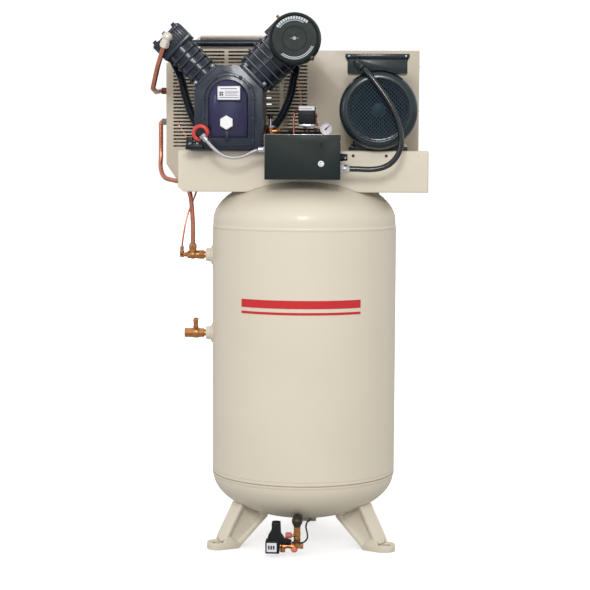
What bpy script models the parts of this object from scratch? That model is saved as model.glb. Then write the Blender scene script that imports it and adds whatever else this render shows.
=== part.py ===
"""Vertical tank compressor: a two-stage V-twin pump and a motor on a deck over an upright receiver.

Units are metres and +Z is up. Everything is drawn about the receiver's own axis, and the empty
`receiver_axis` then moves the whole machine so that its footprint is centred on the origin.
"""

import math

import bmesh
import bpy
from mathutils import Matrix, Vector

# Driving dimensions ---------------------------------------------------------------------------
CENTRE_SHIFT = Vector((0.052, -0.0236, 0.0))
GAP = 0.0003

TANK_R = 0.3048
TANK_WALL = 0.005
HEAD_DEPTH = 0.150
BOTTOM_HEAD_Z = 0.233
TOP_HEAD_Z = 1.075
SEAM_BOTTOM_Z = 0.238
SEAM_TOP_Z = 1.049
TANK_SIDES = 40

DECK_X = 0.404
DECK_Y = 0.155
DECK_TOP = 1.3046
DECK_BOTTOM = 1.169
SHEET = 0.003

LEG_ANGLES = {"leg_left": 210.0, "leg_right": -30.0, "leg_rear": 90.0}
LEG_WIDTH = 0.070
LEG_SHEET = 0.006

CRANK_X = -0.235
CRANK_Z = 1.464
THROW = 0.032
ROD_LENGTH = 0.168
SHAFT_R = 0.018
CRANKCASE_FRONT = -0.215
CRANKCASE_BACK = -0.020

MOTOR_X = 0.242
MOTOR_Z = 1.4337
MOTOR_R = 0.1255
MOTOR_FRONT = -0.200
MOTOR_SHAFT_R = 0.012

BELT_FRONT = 0.190
BELT_BACK = 0.240
FLYWHEEL_R = 0.203
PULLEY_R = 0.076
SHAFT_END = 0.246

GUARD_FRONT = 0.157
GUARD_BACK = 0.285
GUARD_SPLIT = 0.205
GUARD_SHEET = 0.002
GUARD_WINDOW = 0.065

BOX_FRONT = -0.285
COOLER_Y = 0.172
COOLER_R = 0.215
HEAD_CABLE_GAP = 0.006


# Materials ------------------------------------------------------------------------------------
def material(name, colour, roughness, metallic):
    made = bpy.data.materials.new(name)
    made.use_nodes = True
    shader = made.node_tree.nodes["Principled BSDF"]
    shader.inputs["Base Color"].default_value = (*colour, 1.0)
    shader.inputs["Roughness"].default_value = roughness
    shader.inputs["Metallic"].default_value = metallic
    return made


BEIGE = material("beige_paint", (0.70, 0.63, 0.50), 0.45, 0.0)
NAVY = material("pump_paint", (0.035, 0.045, 0.085), 0.35, 0.2)
BLACK = material("black_paint", (0.020, 0.028, 0.028), 0.40, 0.0)
IRON = material("bare_iron", (0.25, 0.25, 0.25), 0.50, 0.9)
STEEL = material("bright_steel", (0.60, 0.60, 0.62), 0.30, 1.0)
COPPER = material("copper_tube", (0.72, 0.33, 0.20), 0.30, 1.0)
BRASS = material("brass", (0.70, 0.45, 0.16), 0.30, 1.0)
RUBBER = material("rubber", (0.020, 0.020, 0.020), 0.80, 0.0)
RED = material("red_plastic", (0.55, 0.06, 0.05), 0.45, 0.0)
WHITE = material("white_plastic", (0.80, 0.80, 0.78), 0.40, 0.0)


# Shape helpers: each returns a plain object, in the receiver's frame ------------------------------
def new_object(name, mesh_builder):
    mesh_builder.normal_update()
    bmesh.ops.recalc_face_normals(mesh_builder, faces=mesh_builder.faces)
    mesh = bpy.data.meshes.new(name)
    mesh_builder.to_mesh(mesh)
    mesh_builder.free()
    made = bpy.data.objects.new(name, mesh)
    bpy.context.scene.collection.objects.link(made)
    return made


def box(low, high):
    builder = bmesh.new()
    bmesh.ops.create_cube(builder, size=1.0)
    low, high = Vector(low), Vector(high)
    size = high - low
    bmesh.ops.scale(builder, vec=size, verts=builder.verts)
    bmesh.ops.translate(builder, vec=(low + high) / 2, verts=builder.verts)
    return new_object("box", builder)


def prism(outline, plane, start, end):
    """A flat outline in plane "xz", "xy" or "yz", pushed along the third axis from start to end."""
    place = {
        "xz": lambda a, b, c: (a, c, b),
        "xy": lambda a, b, c: (a, b, c),
        "yz": lambda a, b, c: (c, a, b),
    }[plane]
    builder = bmesh.new()
    rings = []
    for level in (start, end):
        rings.append([builder.verts.new(place(a, b, level)) for a, b in outline])
    builder.faces.new(rings[0])
    builder.faces.new(rings[1][::-1])
    count = len(outline)
    for i in range(count):
        j = (i + 1) % count
        builder.faces.new((rings[0][i], rings[1][i], rings[1][j], rings[0][j]))
    bmesh.ops.triangulate(builder, faces=[f for f in builder.faces if len(f.verts) > 4])
    return new_object("prism", builder)


def lathe(profile, point, direction, sides):
    """Turns (radius, distance) points round the axis through point; a closed profile makes a ring."""
    turn = Vector((0, 0, 1)).rotation_difference(Vector(direction)).to_matrix().to_4x4()
    place = Matrix.Translation(point) @ turn
    builder = bmesh.new()
    rings = []
    for radius, distance in profile:
        if radius < 1e-7:
            rings.append([builder.verts.new(place @ Vector((0, 0, distance)))])
            continue
        ring = []
        for i in range(sides):
            angle = 2 * math.pi * (i + 0.5) / sides
            local = Vector((radius * math.cos(angle), radius * math.sin(angle), distance))
            ring.append(builder.verts.new(place @ local))
        rings.append(ring)
    closed = len(rings[0]) > 1
    pairs = list(zip(rings, rings[1:]))
    if closed:
        pairs.append((rings[-1], rings[0]))
    for first, second in pairs:
        for i in range(sides):
            j = (i + 1) % sides
            if len(first) == 1:
                builder.faces.new((first[0], second[i], second[j]))
            elif len(second) == 1:
                builder.faces.new((first[i], second[0], first[j]))
            else:
                builder.faces.new((first[i], second[i], second[j], first[j]))
    return new_object("lathe", builder)


def rod(point, direction, radius, length, sides=12, end_radius=None):
    """A solid round bar from point along direction."""
    if end_radius is None:
        end_radius = radius
    profile = [(0, 0), (radius, 0), (end_radius, length), (0, length)]
    return lathe(profile, point, direction, sides)


def ring(point, direction, inner, outer, length, sides=16):
    profile = [(inner, 0), (outer, 0), (outer, length), (inner, length)]
    return lathe(profile, point, direction, sides)


def ball(point, radius, sides=10, rows=6):
    profile = []
    for i in range(rows + 1):
        angle = math.pi * i / rows
        profile.append((radius * math.sin(angle), -radius * math.cos(angle)))
    profile[0] = (0, -radius)
    profile[-1] = (0, radius)
    return lathe(profile, point, (0, 0, 1), sides)


def smooth_route(points, per_span):
    """Catmull-Rom points through a hand-set route."""
    points = [Vector(p) for p in points]
    padded = [2 * points[0] - points[1]] + points + [2 * points[-1] - points[-2]]
    route = []
    for i in range(len(points) - 1):
        a, b, c, d = padded[i : i + 4]
        for k in range(per_span):
            t = k / per_span
            route.append(
                0.5
                * (
                    2 * b
                    + (c - a) * t
                    + (2 * a - 5 * b + 4 * c - d) * t * t
                    + (3 * b - a - 3 * c + d) * t**3
                )
            )
    route.append(points[-1])
    return route


def rounded_route(points, bend, steps=4):
    """Straight runs with each corner rounded to about the bend radius, as a pipe bender leaves them."""
    points = [Vector(p) for p in points]
    route = [points[0]]
    for before, corner, after in zip(points, points[1:], points[2:]):
        into = (before - corner).normalized()
        out = (after - corner).normalized()
        half = into.angle(out) / 2
        reach = bend / math.tan(half)
        reach = min(reach, (before - corner).length * 0.48, (after - corner).length * 0.48)
        start, end = corner + into * reach, corner + out * reach
        for k in range(steps + 1):
            t = k / steps
            route.append(start * (1 - t) ** 2 + corner * 2 * t * (1 - t) + end * t * t)
    route.append(points[-1])
    return route


def tube(route, radius, sides=8):
    """A solid round tube along a route, with flat ends square to it."""
    builder = bmesh.new()
    count = len(route)
    aim = [(route[min(i + 1, count - 1)] - route[max(i - 1, 0)]).normalized() for i in range(count)]
    side = aim[0].orthogonal().normalized()
    rings = []
    for point, forward in zip(route, aim):
        side = (side - forward * side.dot(forward)).normalized()
        up = forward.cross(side)
        ring_points = []
        for k in range(sides):
            angle = 2 * math.pi * k / sides
            offset = side * math.cos(angle) * radius + up * math.sin(angle) * radius
            ring_points.append(builder.verts.new(point + offset))
        rings.append(ring_points)
    for first, second in zip(rings, rings[1:]):
        for k in range(sides):
            j = (k + 1) % sides
            builder.faces.new((first[k], first[j], second[j], second[k]))
    builder.faces.new(rings[0][::-1])
    builder.faces.new(rings[-1])
    return new_object("tube", builder)


def apply_boolean(target, other, operation):
    """Bakes one Boolean of two closed bodies. The exact solver loses whole bodies here, so this is manifold."""
    modifier = target.modifiers.new(operation.lower(), "BOOLEAN")
    modifier.operation = operation
    modifier.solver = "MANIFOLD"
    modifier.object = other
    bpy.context.view_layer.update()
    graph = bpy.context.evaluated_depsgraph_get()
    result = bpy.data.meshes.new_from_object(target.evaluated_get(graph))
    target.modifiers.clear()
    target.data = result
    bpy.data.objects.remove(other)


def join(*pieces):
    first = pieces[0]
    for other in pieces[1:]:
        apply_boolean(first, other, "UNION")
    return first


def cut(body, *cutters):
    for cutter in cutters:
        apply_boolean(body, cutter, "DIFFERENCE")
    return body


def moved(obj, matrix):
    obj.data.transform(matrix)
    return obj


def node(name, obj, finish, pivot=(0, 0, 0)):
    """Names a finished piece, gives it its material and puts its origin on its joint's axis."""
    pivot = Vector(pivot)
    obj.name = name
    obj.data.name = name
    obj.data.transform(Matrix.Translation(-pivot))
    obj.location = pivot
    obj.parent = AXIS
    obj.data.materials.clear()
    obj.data.materials.append(finish)
    obj.data.shade_smooth()
    obj.data.set_sharp_from_angle(angle=math.radians(32))
    return obj


# The receiver -----------------------------------------------------------------------------------
def head_height(x, y, grow=0.0):
    """How far a head's surface stands from its widest circle, over the point x, y."""
    reach = math.hypot(x, y) / (TANK_R + grow)
    return (HEAD_DEPTH + grow) * math.sqrt(max(0.0, 1 - reach * reach))


def head_arc(radius, depth, rows=5):
    points = []
    for i in range(rows + 1):
        angle = math.pi / 2 * i / rows
        points.append((radius * math.cos(angle), depth * math.sin(angle)))
    points[-1] = (0, depth)
    return points


def dished_head(centre_z, skirt_z, direction):
    """An elliptical head with its straight skirt, open towards the shell."""
    outer = head_arc(TANK_R, HEAD_DEPTH)
    inner = head_arc(TANK_R - TANK_WALL, HEAD_DEPTH - TANK_WALL)
    skirt = -abs(centre_z - skirt_z) + GAP
    profile = [(r, h) for r, h in reversed(inner)]
    profile += [(TANK_R - TANK_WALL, skirt), (TANK_R, skirt)]
    profile += outer
    return lathe(profile, (0, 0, centre_z), (0, 0, direction), TANK_SIDES)


def tank_cutter(clearance=0.0006):
    """The receiver's outside as a solid, a little grown, for shaping what is welded to it."""
    top = [(r, TOP_HEAD_Z + h) for r, h in head_arc(TANK_R + clearance, HEAD_DEPTH + clearance)]
    bottom = [(r, BOTTOM_HEAD_Z - h) for r, h in head_arc(TANK_R + clearance, HEAD_DEPTH + clearance)]
    return lathe(bottom[::-1] + top, (0, 0, 0), (0, 0, 1), TANK_SIDES)


def make_tank():
    shell = ring((0, 0, SEAM_BOTTOM_Z), (0, 0, 1), TANK_R - TANK_WALL, TANK_R,
                 SEAM_TOP_Z - SEAM_BOTTOM_Z, TANK_SIDES)
    node("tank_shell", shell, BEIGE)
    node("tank_top_head", dished_head(TOP_HEAD_Z, SEAM_TOP_Z, 1), BEIGE)
    node("tank_bottom_head", dished_head(BOTTOM_HEAD_Z, SEAM_BOTTOM_Z, -1), BEIGE)


def make_leg(name, degrees):
    """A pressed channel that leans out from the bottom head to a dished foot with a bolt hole."""
    outer = [(0.150, 0.150), (0.2250, 0.180), (0.300, 0.040), (0.308, 0.020),
             (0.308, 0.0), (0.255, 0.0), (0.246, 0.010), (0.150, 0.098)]
    inner = [(0.100, 0.200), (0.2076, 0.200), (0.2930, 0.040), (0.299, 0.020),
             (0.299, 0.012), (0.100, 0.012)]
    half = LEG_WIDTH / 2
    pad_r = 0.036
    pad = [(0.262, -pad_r), (0.315, -pad_r)]
    for i in range(1, 8):
        angle = math.pi * (i / 8 - 0.5)
        pad.append((0.315 + pad_r * math.cos(angle), pad_r * math.sin(angle)))
    pad += [(0.315, pad_r), (0.262, pad_r)]
    leg = prism(outer, "xz", -half, half)
    foot = prism(pad, "xy", 0.0, 0.022)
    hollow = prism(inner, "xz", -(half - LEG_SHEET), half - LEG_SHEET)
    hole = rod((0.327, 0, -0.01), (0, 0, 1), 0.008, 0.05, 10)
    leg = cut(join(leg, foot), hollow, hole)
    moved(leg, Matrix.Rotation(math.radians(degrees), 4, "Z"))
    node(name, cut(leg, tank_cutter()), BEIGE)


def make_port_boss(name, z):
    profile = [(0.011, 0.0), (0.030, 0.0), (0.030, 0.004), (0.022, 0.008), (0.022, 0.0215),
               (0.011, 0.0215)]
    node(name, lathe(profile, (-TANK_R - 0.0008, 0, z), (-1, 0, 0), 16), BEIGE)


def make_top_plate():
    tray = box((-DECK_X, -DECK_Y, DECK_BOTTOM), (DECK_X, DECK_Y, DECK_TOP))
    inside = box((-DECK_X + SHEET, -DECK_Y + SHEET, DECK_BOTTOM - 0.05),
                 (DECK_X - SHEET, DECK_Y - SHEET, DECK_TOP - SHEET))
    corner = prism([(-0.420, 1.2003), (-0.3805, 1.165), (-0.3805, 1.150), (-0.420, 1.150)],
                   "xz", -DECK_Y - 0.01, DECK_Y + 0.01)
    notch = box((-0.420, -0.012, 1.150), (-0.390, 0.045, 1.212))
    pipe_hole = rod((MANIFOLD_X, MANIFOLD_Y, 1.28), (0, 0, 1), 0.013, 0.05)
    tube_hole = rod((UNLOADER_X, UNLOADER_Y, 1.28), (0, 0, 1), 0.007, 0.05)
    tray = cut(tray, inside, tank_cutter(0.001), corner, notch, pipe_hole, tube_hole)
    node("top_plate", tray, BEIGE)


# The pump ---------------------------------------------------------------------------------------
CRANK = Vector((CRANK_X, 0, CRANK_Z))
OIL_SWITCH = Vector((-0.321, -0.254, 1.358))
SECOND_STAGE = {"lean": -45.0, "y": -0.131, "bore": 0.0321, "fin": 0.050, "head": (0.0565, 0.052, 0.297)}
FIRST_STAGE = {"lean": 45.0, "y": -0.107, "bore": 0.0511, "fin": 0.073, "head": (0.075, 0.072, 0.301)}
BARREL_BASE = 0.1003
HEAD_BASE = 0.231
FIN_HEIGHTS = (0.133, 0.158, 0.183, 0.206)
CASE_HALF = 0.109
CASE_BOTTOM = -0.154
CASE_FLAT = 0.1
COVER_HALF = 0.084


def leaned(obj, stage):
    """Moves a piece drawn along +Z over the origin to its cylinder's place on the crankcase."""
    lean = Matrix.Rotation(math.radians(stage["lean"]), 4, "Y")
    return moved(obj, Matrix.Translation(CRANK + Vector((0, stage["y"], 0))) @ lean)


def at_crank(points):
    return [(CRANK_X + x, CRANK_Z + z) for x, z in points]


def crankcase_outline(inset):
    half = CASE_HALF - inset
    flat = (CASE_FLAT - inset) * math.sqrt(2)
    top = CASE_HALF - 0.001 - inset
    right = [(half, CASE_BOTTOM + inset), (half, flat - half), (flat - top, top)]
    return at_crank(right + [(-x, z) for x, z in reversed(right)])


def make_crankcase():
    body = prism(crankcase_outline(0), "xz", CRANKCASE_FRONT, CRANKCASE_BACK)
    base = box((CRANK_X - 0.130, -0.200, DECK_TOP + GAP), (CRANK_X + 0.112, -0.035, DECK_TOP + 0.014))
    housing = rod((CRANK_X, CRANKCASE_BACK - 0.005, CRANK_Z), (0, 1, 0), 0.052, 0.045, 16)
    body = join(body, base, housing)
    room = prism(crankcase_outline(0.010), "xz", CRANKCASE_FRONT + 0.010, CRANKCASE_BACK - 0.012)
    mouth = prism(at_crank(door_mouth()), "xz", CRANKCASE_FRONT - 0.02, CRANKCASE_FRONT + 0.03)
    seat = rod((CRANK_X, -0.004, CRANK_Z), (0, 1, 0), 0.040, 0.05, 16)
    shaft_hole = rod((CRANK_X, -0.05, CRANK_Z), (0, 1, 0), 0.022, 0.1, 16)
    second_hole = leaned(rod((0, 0, 0.03), (0, 0, 1), 0.029, 0.10, 16), SECOND_STAGE)
    first_hole = leaned(rod((0, 0, 0.03), (0, 0, 1), 0.040, 0.10, 16), FIRST_STAGE)
    node("crankcase", cut(body, room, mouth, seat, shaft_hole, second_hole, first_hole), NAVY)


def arch(half, foot):
    """Straight sides from the foot up to the crank's axis, then a round top, as points about that axis."""
    right = [(half, foot), (half, 0)]
    for i in range(1, 6):
        angle = math.pi / 2 * i / 6
        right.append((half * math.cos(angle), half * math.sin(angle)))
    return right + [(0, half)] + [(-x, z) for x, z in reversed(right)]


def door_mouth():
    """The crankcase's front opening, which narrows at its foot to clear the oil level switch."""
    return [(0.040, -0.134), (0.040, -0.070)] + arch(0.072, -0.055) + [(-0.040, -0.070), (-0.040, -0.134)]


def make_crankcase_cover():
    """An arched door whose middle swells over the front bearing and down to the oil plug."""
    front = CRANKCASE_FRONT - GAP
    plate = prism(at_crank(arch(COVER_HALF, -0.146)), "xz", front - 0.013, front)
    relief = rod((OIL_SWITCH.x, front + 0.02, OIL_SWITCH.z), (0, -1, 0), 0.0305, 0.06, 20)
    corner = box((CRANK_X - 0.100, front - 0.04, CRANK_Z - 0.160),
                 (OIL_SWITCH.x + 0.0295, front + 0.02, OIL_SWITCH.z))
    plate = cut(plate, relief, corner)
    dome = lathe([(0, 0), (0.070, 0), (0.066, 0.014), (0.050, 0.024), (0.026, 0.030), (0, 0.031)],
                 (CRANK_X, front - 0.003, CRANK_Z), (0, -1, 0), 20)
    swell = [(-0.046, -0.130), (0.050, -0.130), (0.056, -0.060), (0.046, -0.020), (-0.046, -0.020),
             (-0.052, -0.060)]
    swell = prism(at_crank(swell), "xz", front - 0.020, front - 0.004)
    boss = rod((PLUG.x, front - 0.005, PLUG.z), (0, -1, 0), 0.025, front - 0.005 - PLUG_SEAT - GAP, 16)
    pocket = rod((CRANK_X, front + 0.01, CRANK_Z), (0, -1, 0), 0.0315, 0.031, 16)
    node("crankcase_cover", cut(join(plate, dome, swell, boss), pocket), NAVY)


def make_bearings():
    front = ring((CRANK_X, CRANKCASE_FRONT - 0.0004, CRANK_Z), (0, -1, 0), 0.0164, 0.031, 0.019, 16)
    rear = ring((CRANK_X, -0.002, CRANK_Z), (0, 1, 0), SHAFT_R + 0.0005, 0.0394, 0.020, 16)
    node("main_bearing_front", front, STEEL)
    node("main_bearing_rear", rear, STEEL)


def make_crankshaft():
    web = [(0.024, 0.0), (0.022, THROW + 0.016), (-0.022, THROW + 0.016), (-0.024, 0.0)]
    for i in range(9):
        angle = math.radians(200 + 140 * i / 8)
        web.append((0.060 * math.cos(angle), 0.060 * math.sin(angle)))
    web = at_crank(web)
    stub = rod((CRANK_X, -0.232, CRANK_Z), (0, 1, 0), 0.016, 0.070, 16)
    front_web = prism(web, "xz", -0.168, -0.150)
    rear_web = prism(web, "xz", -0.088, -0.070)
    pin = rod((CRANK_X, -0.155, CRANK_Z + THROW), (0, 1, 0), 0.016, 0.072, 16)
    shaft = rod((CRANK_X, -0.075, CRANK_Z), (0, 1, 0), SHAFT_R, SHAFT_END + 0.075, 16)
    node("crankshaft", join(stub, front_web, pin, rear_web, shaft), STEEL, CRANK)


def make_cylinder(name, stage):
    """A barrel with its base flange and four square fins, bored through."""
    half = stage["fin"]
    wall = stage["bore"] + 0.010
    barrel = rod((0, 0, BARREL_BASE), (0, 0, 1), wall, HEAD_BASE - GAP - BARREL_BASE, 20)
    flange_half = min(0.054, half)
    parts = [box((-flange_half, -half, BARREL_BASE), (flange_half, half, BARREL_BASE + 0.013))]
    for height in FIN_HEIGHTS:
        fin = box((-half, -half, height - 0.003), (half, half, height + 0.003))
        parts.append(fin)
    body = join(barrel, *parts)
    bore = rod((0, 0, BARREL_BASE - 0.02), (0, 0, 1), stage["bore"], 0.2, 20)
    node(name, leaned(cut(body, bore), stage), NAVY)


def make_head(name, stage):
    """A cylinder head with a valve chamber open to the barrel, and a row of bolts on its top."""
    across, deep, top = stage["head"]
    body = box((-across, -deep, HEAD_BASE), (across, deep, top))
    bolts = []
    for x in (-0.7, 0.0, 0.7):
        for y in (-0.7, 0.7):
            bolts.append(rod((across * x, deep * y, top - 0.004), (0, 0, 1), 0.008, 0.012, 6))
    chamber = rod((0, 0, HEAD_BASE - 0.02), (0, 0, 1), stage["bore"] - 0.006, 0.060, 16)
    body = cut(join(body, *bolts), chamber)
    node(name, leaned(body, stage), NAVY)


def wrist_height():
    """How far the wrist pin is from the crank's axis with the throw straight up, 45 degrees off."""
    along = THROW * math.cos(math.pi / 4)
    return along + math.sqrt(ROD_LENGTH**2 - along**2)


def make_piston_and_rod(stage_name, stage):
    wrist = wrist_height()
    outside = stage["bore"] - 0.0004
    inside = outside - 0.0045
    crown = wrist + 0.024
    cup = [(0, crown), (outside, crown), (outside, wrist - 0.022), (inside, wrist - 0.022),
           (inside, crown - 0.007), (0, crown - 0.007)]
    piston = lathe(cup[::-1], (0, 0, 0), (0, 0, 1), 20)
    pin = rod((0, -inside - 0.002, wrist), (0, 1, 0), 0.009, 2 * (inside + 0.002), 12)
    pivot = CRANK + Vector((0, stage["y"], 0))
    node(stage_name + "_piston", leaned(join(piston, pin), stage), IRON, pivot)
    eye = ring((0, -0.010, wrist), (0, 1, 0), 0.0094, 0.0155, 0.020, 12)
    shank = box((-0.007, -0.006, wrist - 0.070), (0.007, 0.006, wrist - 0.0125))
    node(stage_name + "_rod", leaned(join(eye, shank), stage), STEEL, pivot)


def make_flywheel():
    """A grooved rim on five spokes, which also drives air over the pump."""
    centre = (CRANK_X, BELT_FRONT, CRANK_Z)
    width = BELT_BACK - BELT_FRONT
    lip = FLYWHEEL_R + 0.008
    rim = lathe([(0.184, 0), (lip, 0), (lip, 0.005), (FLYWHEEL_R, 0.007), (FLYWHEEL_R, width - 0.007),
                 (lip, width - 0.005), (lip, width), (0.184, width)], centre, (0, 1, 0), 28)
    hub = rod(centre, (0, 1, 0), 0.042, width, 20)
    spokes = []
    for i in range(5):
        spoke = box((0.030, BELT_FRONT + 0.015, -0.016), (0.190, BELT_BACK - 0.015, 0.016))
        turn = Matrix.Rotation(2 * math.pi * i / 5, 4, "Y")
        spokes.append(moved(spoke, Matrix.Translation(CRANK) @ turn))
    bore = rod((CRANK_X, 0.15, CRANK_Z), (0, 1, 0), SHAFT_R + GAP, 0.15, 16)
    node("flywheel", cut(join(hub, *spokes, rim), bore), NAVY, CRANK)


def make_intercoolers():
    """The finned tube between the heads, and the bare one that loops under the crankcase."""
    rear_second = SECOND_STAGE["y"] + SECOND_STAGE["head"][1] + 0.0015
    rear_first = FIRST_STAGE["y"] + FIRST_STAGE["head"][1] + 0.0015
    top_z = 1.655
    run = rounded_route([(-0.410, rear_second, top_z), (-0.410, -0.012, top_z), (-0.060, -0.012, top_z),
                         (-0.060, rear_first, top_z)], 0.02)
    finned = rod((-0.345, -0.012, top_z), (1, 0, 0), 0.0205, 0.225, 14)
    node("intercooler_upper", join(tube(run, 0.011, 10), finned), NAVY)
    back = 0.045
    loop = [(-0.445, rear_second, 1.622), (-0.445, -0.045, 1.622), (-0.437, 0.010, 1.602), (-0.417, back, 1.550),
            (-0.397, back, 1.470), (-0.366, back, 1.395), (-0.315, back, 1.345), (-0.235, back, 1.330),
            (-0.155, back, 1.345), (-0.095, back, 1.395), (-0.056, back, 1.470), (-0.038, back, 1.550),
            (-0.029, 0.020, 1.602), (-0.025, 0.0, 1.622), (-0.025, rear_first, 1.622)]
    node("intercooler_lower", tube(smooth_route(loop, 2), 0.0158, 8), NAVY)


PLUG = Vector((-0.237, 0, 1.391))
PLUG_SEAT = -0.2470
FILTER = Vector((-0.0235, 0, 1.6545))
FILTER_R = 0.0823


def make_air_filter():
    """A canister open at the neck that meets the low-pressure head."""
    back = FIRST_STAGE["y"] - FIRST_STAGE["head"][1] - GAP
    wall = 0.002
    depth = 0.0805
    neck = -0.010
    outer = [(0.022, neck), (0.022, 0), (FILTER_R - 0.004, 0), (FILTER_R, 0.004),
             (FILTER_R, depth - 0.006), (FILTER_R - 0.006, depth), (0, depth)]
    inner = [(0, depth - wall), (FILTER_R - 0.008, depth - wall), (FILTER_R - wall, depth - 0.008),
             (FILTER_R - wall, 0.006), (FILTER_R - 0.006, wall), (0.018, wall), (0.018, neck)]
    canister = lathe(outer[::-1] + inner[::-1], (FILTER.x, back + neck, FILTER.z), (0, -1, 0), 24)
    node("air_filter", canister, BLACK)


def make_oil_fittings():
    plug = join(rod((PLUG.x, PLUG_SEAT, PLUG.z), (0, -1, 0), 0.0155, 0.006, 16),
                rod((PLUG.x, PLUG_SEAT - 0.004, PLUG.z), (0, -1, 0), 0.0225, 0.016, 6))
    node("oil_fill_plug", plug, WHITE)
    body = rod((OIL_SWITCH.x, CRANKCASE_FRONT - GAP, OIL_SWITCH.z), (0, -1, 0), 0.019, 0.022, 16)
    collar = rod((OIL_SWITCH.x, CRANKCASE_FRONT - 0.020, OIL_SWITCH.z), (0, -1, 0), 0.028, 0.012, 20)
    cap = rod((OIL_SWITCH.x, CRANKCASE_FRONT - 0.030, OIL_SWITCH.z), (0, -1, 0), 0.013, 0.018, 10)
    stub = rod(OIL_SWITCH, OIL_SWITCH_AIM, 0.0075, 0.0327, 10)
    node("oil_level_switch", join(body, collar, cap, stub), RED)


# The drive --------------------------------------------------------------------------------------
MOTOR = Vector((MOTOR_X, 0, MOTOR_Z))


def make_motor():
    """Frame with its wound stator, fan cover, fan and rotor, seen from the fan end."""
    split = -0.150
    rear = 0.120
    shell = [(0.076, -0.100), (0.112, -0.100), (0.112, split), (MOTOR_R, split), (MOTOR_R, rear - 0.02),
             (0.095, rear), (MOTOR_SHAFT_R + 0.0008, rear), (MOTOR_SHAFT_R + 0.0008, rear - 0.012),
             (0.076, rear - 0.020)]
    frame = lathe(shell, MOTOR, (0, 1, 0), 28)
    feet = box((MOTOR_X - 0.095, -0.130, DECK_TOP + GAP), (MOTOR_X + 0.095, 0.080, DECK_TOP + 0.013))
    posts = []
    for side in (-1, 1):
        low = (MOTOR_X + side * 0.060 - 0.012, -0.120, DECK_TOP + 0.006)
        high = (MOTOR_X + side * 0.060 + 0.012, 0.070, MOTOR_Z - 0.090)
        posts.append(box(low, high))
    node("motor_frame", join(feet, *posts, frame), BLACK)
    depth = split - GAP - MOTOR_FRONT
    cover = [(0, depth - 0.002), (0.097, depth - 0.002), (0.110, depth - 0.006), (MOTOR_R - 0.002, depth - 0.019),
             (MOTOR_R - 0.002, 0), (MOTOR_R, 0), (MOTOR_R, depth - 0.018), (0.112, depth - 0.004),
             (0.098, depth), (0, depth)]
    cover = lathe(cover, (MOTOR_X, split - GAP, MOTOR_Z), (0, -1, 0), 28)
    node("motor_fan_cover", cover, BLACK)
    shaft = rod((MOTOR_X, -0.182, MOTOR_Z), (0, 1, 0), MOTOR_SHAFT_R, SHAFT_END + 0.182, 14)
    drum = rod((MOTOR_X, -0.095, MOTOR_Z), (0, 1, 0), 0.0745, 0.185, 20)
    node("motor_rotor", join(shaft, drum), STEEL, MOTOR)
    hub = rod((MOTOR_X, -0.180, MOTOR_Z), (0, 1, 0), 0.022, 0.024, 12)
    blades = []
    for i in range(6):
        blade = box((0.015, -0.178, -0.0015), (0.090, -0.158, 0.0015))
        turn = Matrix.Rotation(2 * math.pi * i / 6, 4, "Y")
        blades.append(moved(blade, Matrix.Translation(MOTOR) @ turn))
    bore = rod((MOTOR_X, -0.2, MOTOR_Z), (0, 1, 0), MOTOR_SHAFT_R + GAP, 0.08, 14)
    node("motor_fan", cut(join(hub, *blades), bore), BLACK, MOTOR)


def make_motor_pulley():
    width = BELT_BACK - BELT_FRONT
    lip = PULLEY_R + 0.008
    bore = MOTOR_SHAFT_R + GAP
    profile = [(bore, 0), (lip, 0), (lip, 0.005), (PULLEY_R, 0.007), (PULLEY_R, width - 0.007),
               (lip, width - 0.005), (lip, width), (bore, width)]
    node("motor_pulley", lathe(profile, (MOTOR_X, BELT_FRONT, MOTOR_Z), (0, 1, 0), 24), IRON, MOTOR)


def belt_outline(extra):
    """The loop round both wheels at their groove radius plus extra, as tangent lines and arcs."""
    across = MOTOR_X - CRANK_X
    drop = MOTOR_Z - CRANK_Z
    span = math.hypot(across, drop)
    tilt = math.atan2(drop, across)
    lean = math.acos((FLYWHEEL_R - PULLEY_R) / span)
    points = []
    for i in range(25):
        angle = tilt + lean + (2 * math.pi - 2 * lean) * i / 24
        reach = FLYWHEEL_R + extra
        points.append((CRANK_X + reach * math.cos(angle), CRANK_Z + reach * math.sin(angle)))
    for i in range(13):
        angle = tilt - lean + 2 * lean * i / 12
        reach = PULLEY_R + extra
        points.append((MOTOR_X + reach * math.cos(angle), MOTOR_Z + reach * math.sin(angle)))
    return points


def make_belt():
    start, end = BELT_FRONT + 0.009, BELT_BACK - 0.009
    belt = prism(belt_outline(0.011), "xz", start, end)
    inside = prism(belt_outline(0.002), "xz", start - 0.01, end + 0.01)
    node("drive_belt", cut(belt, inside), RUBBER)


GUARD_OUTLINE = [(-0.480, 1.256), (-0.480, 1.598), (-0.360, 1.692), (-0.125, 1.692), (0.0, 1.642),
                 (0.380, 1.642), (0.380, 1.230), (0.0, 1.212), (-0.440, 1.197)]


def inset_outline(outline, inset):
    """The same outline moved inwards by a sheet's thickness, for a clockwise list of points."""
    points = [Vector(p) for p in outline]
    count = len(points)
    result = []
    for i in range(count):
        before = (points[i] - points[i - 1]).normalized()
        after = (points[(i + 1) % count] - points[i]).normalized()
        normal_a = Vector((before.y, -before.x))
        normal_b = Vector((after.y, -after.x))
        middle = (normal_a + normal_b).normalized()
        result.append(tuple(points[i] + middle * inset / middle.dot(normal_a)))
    return result


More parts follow.
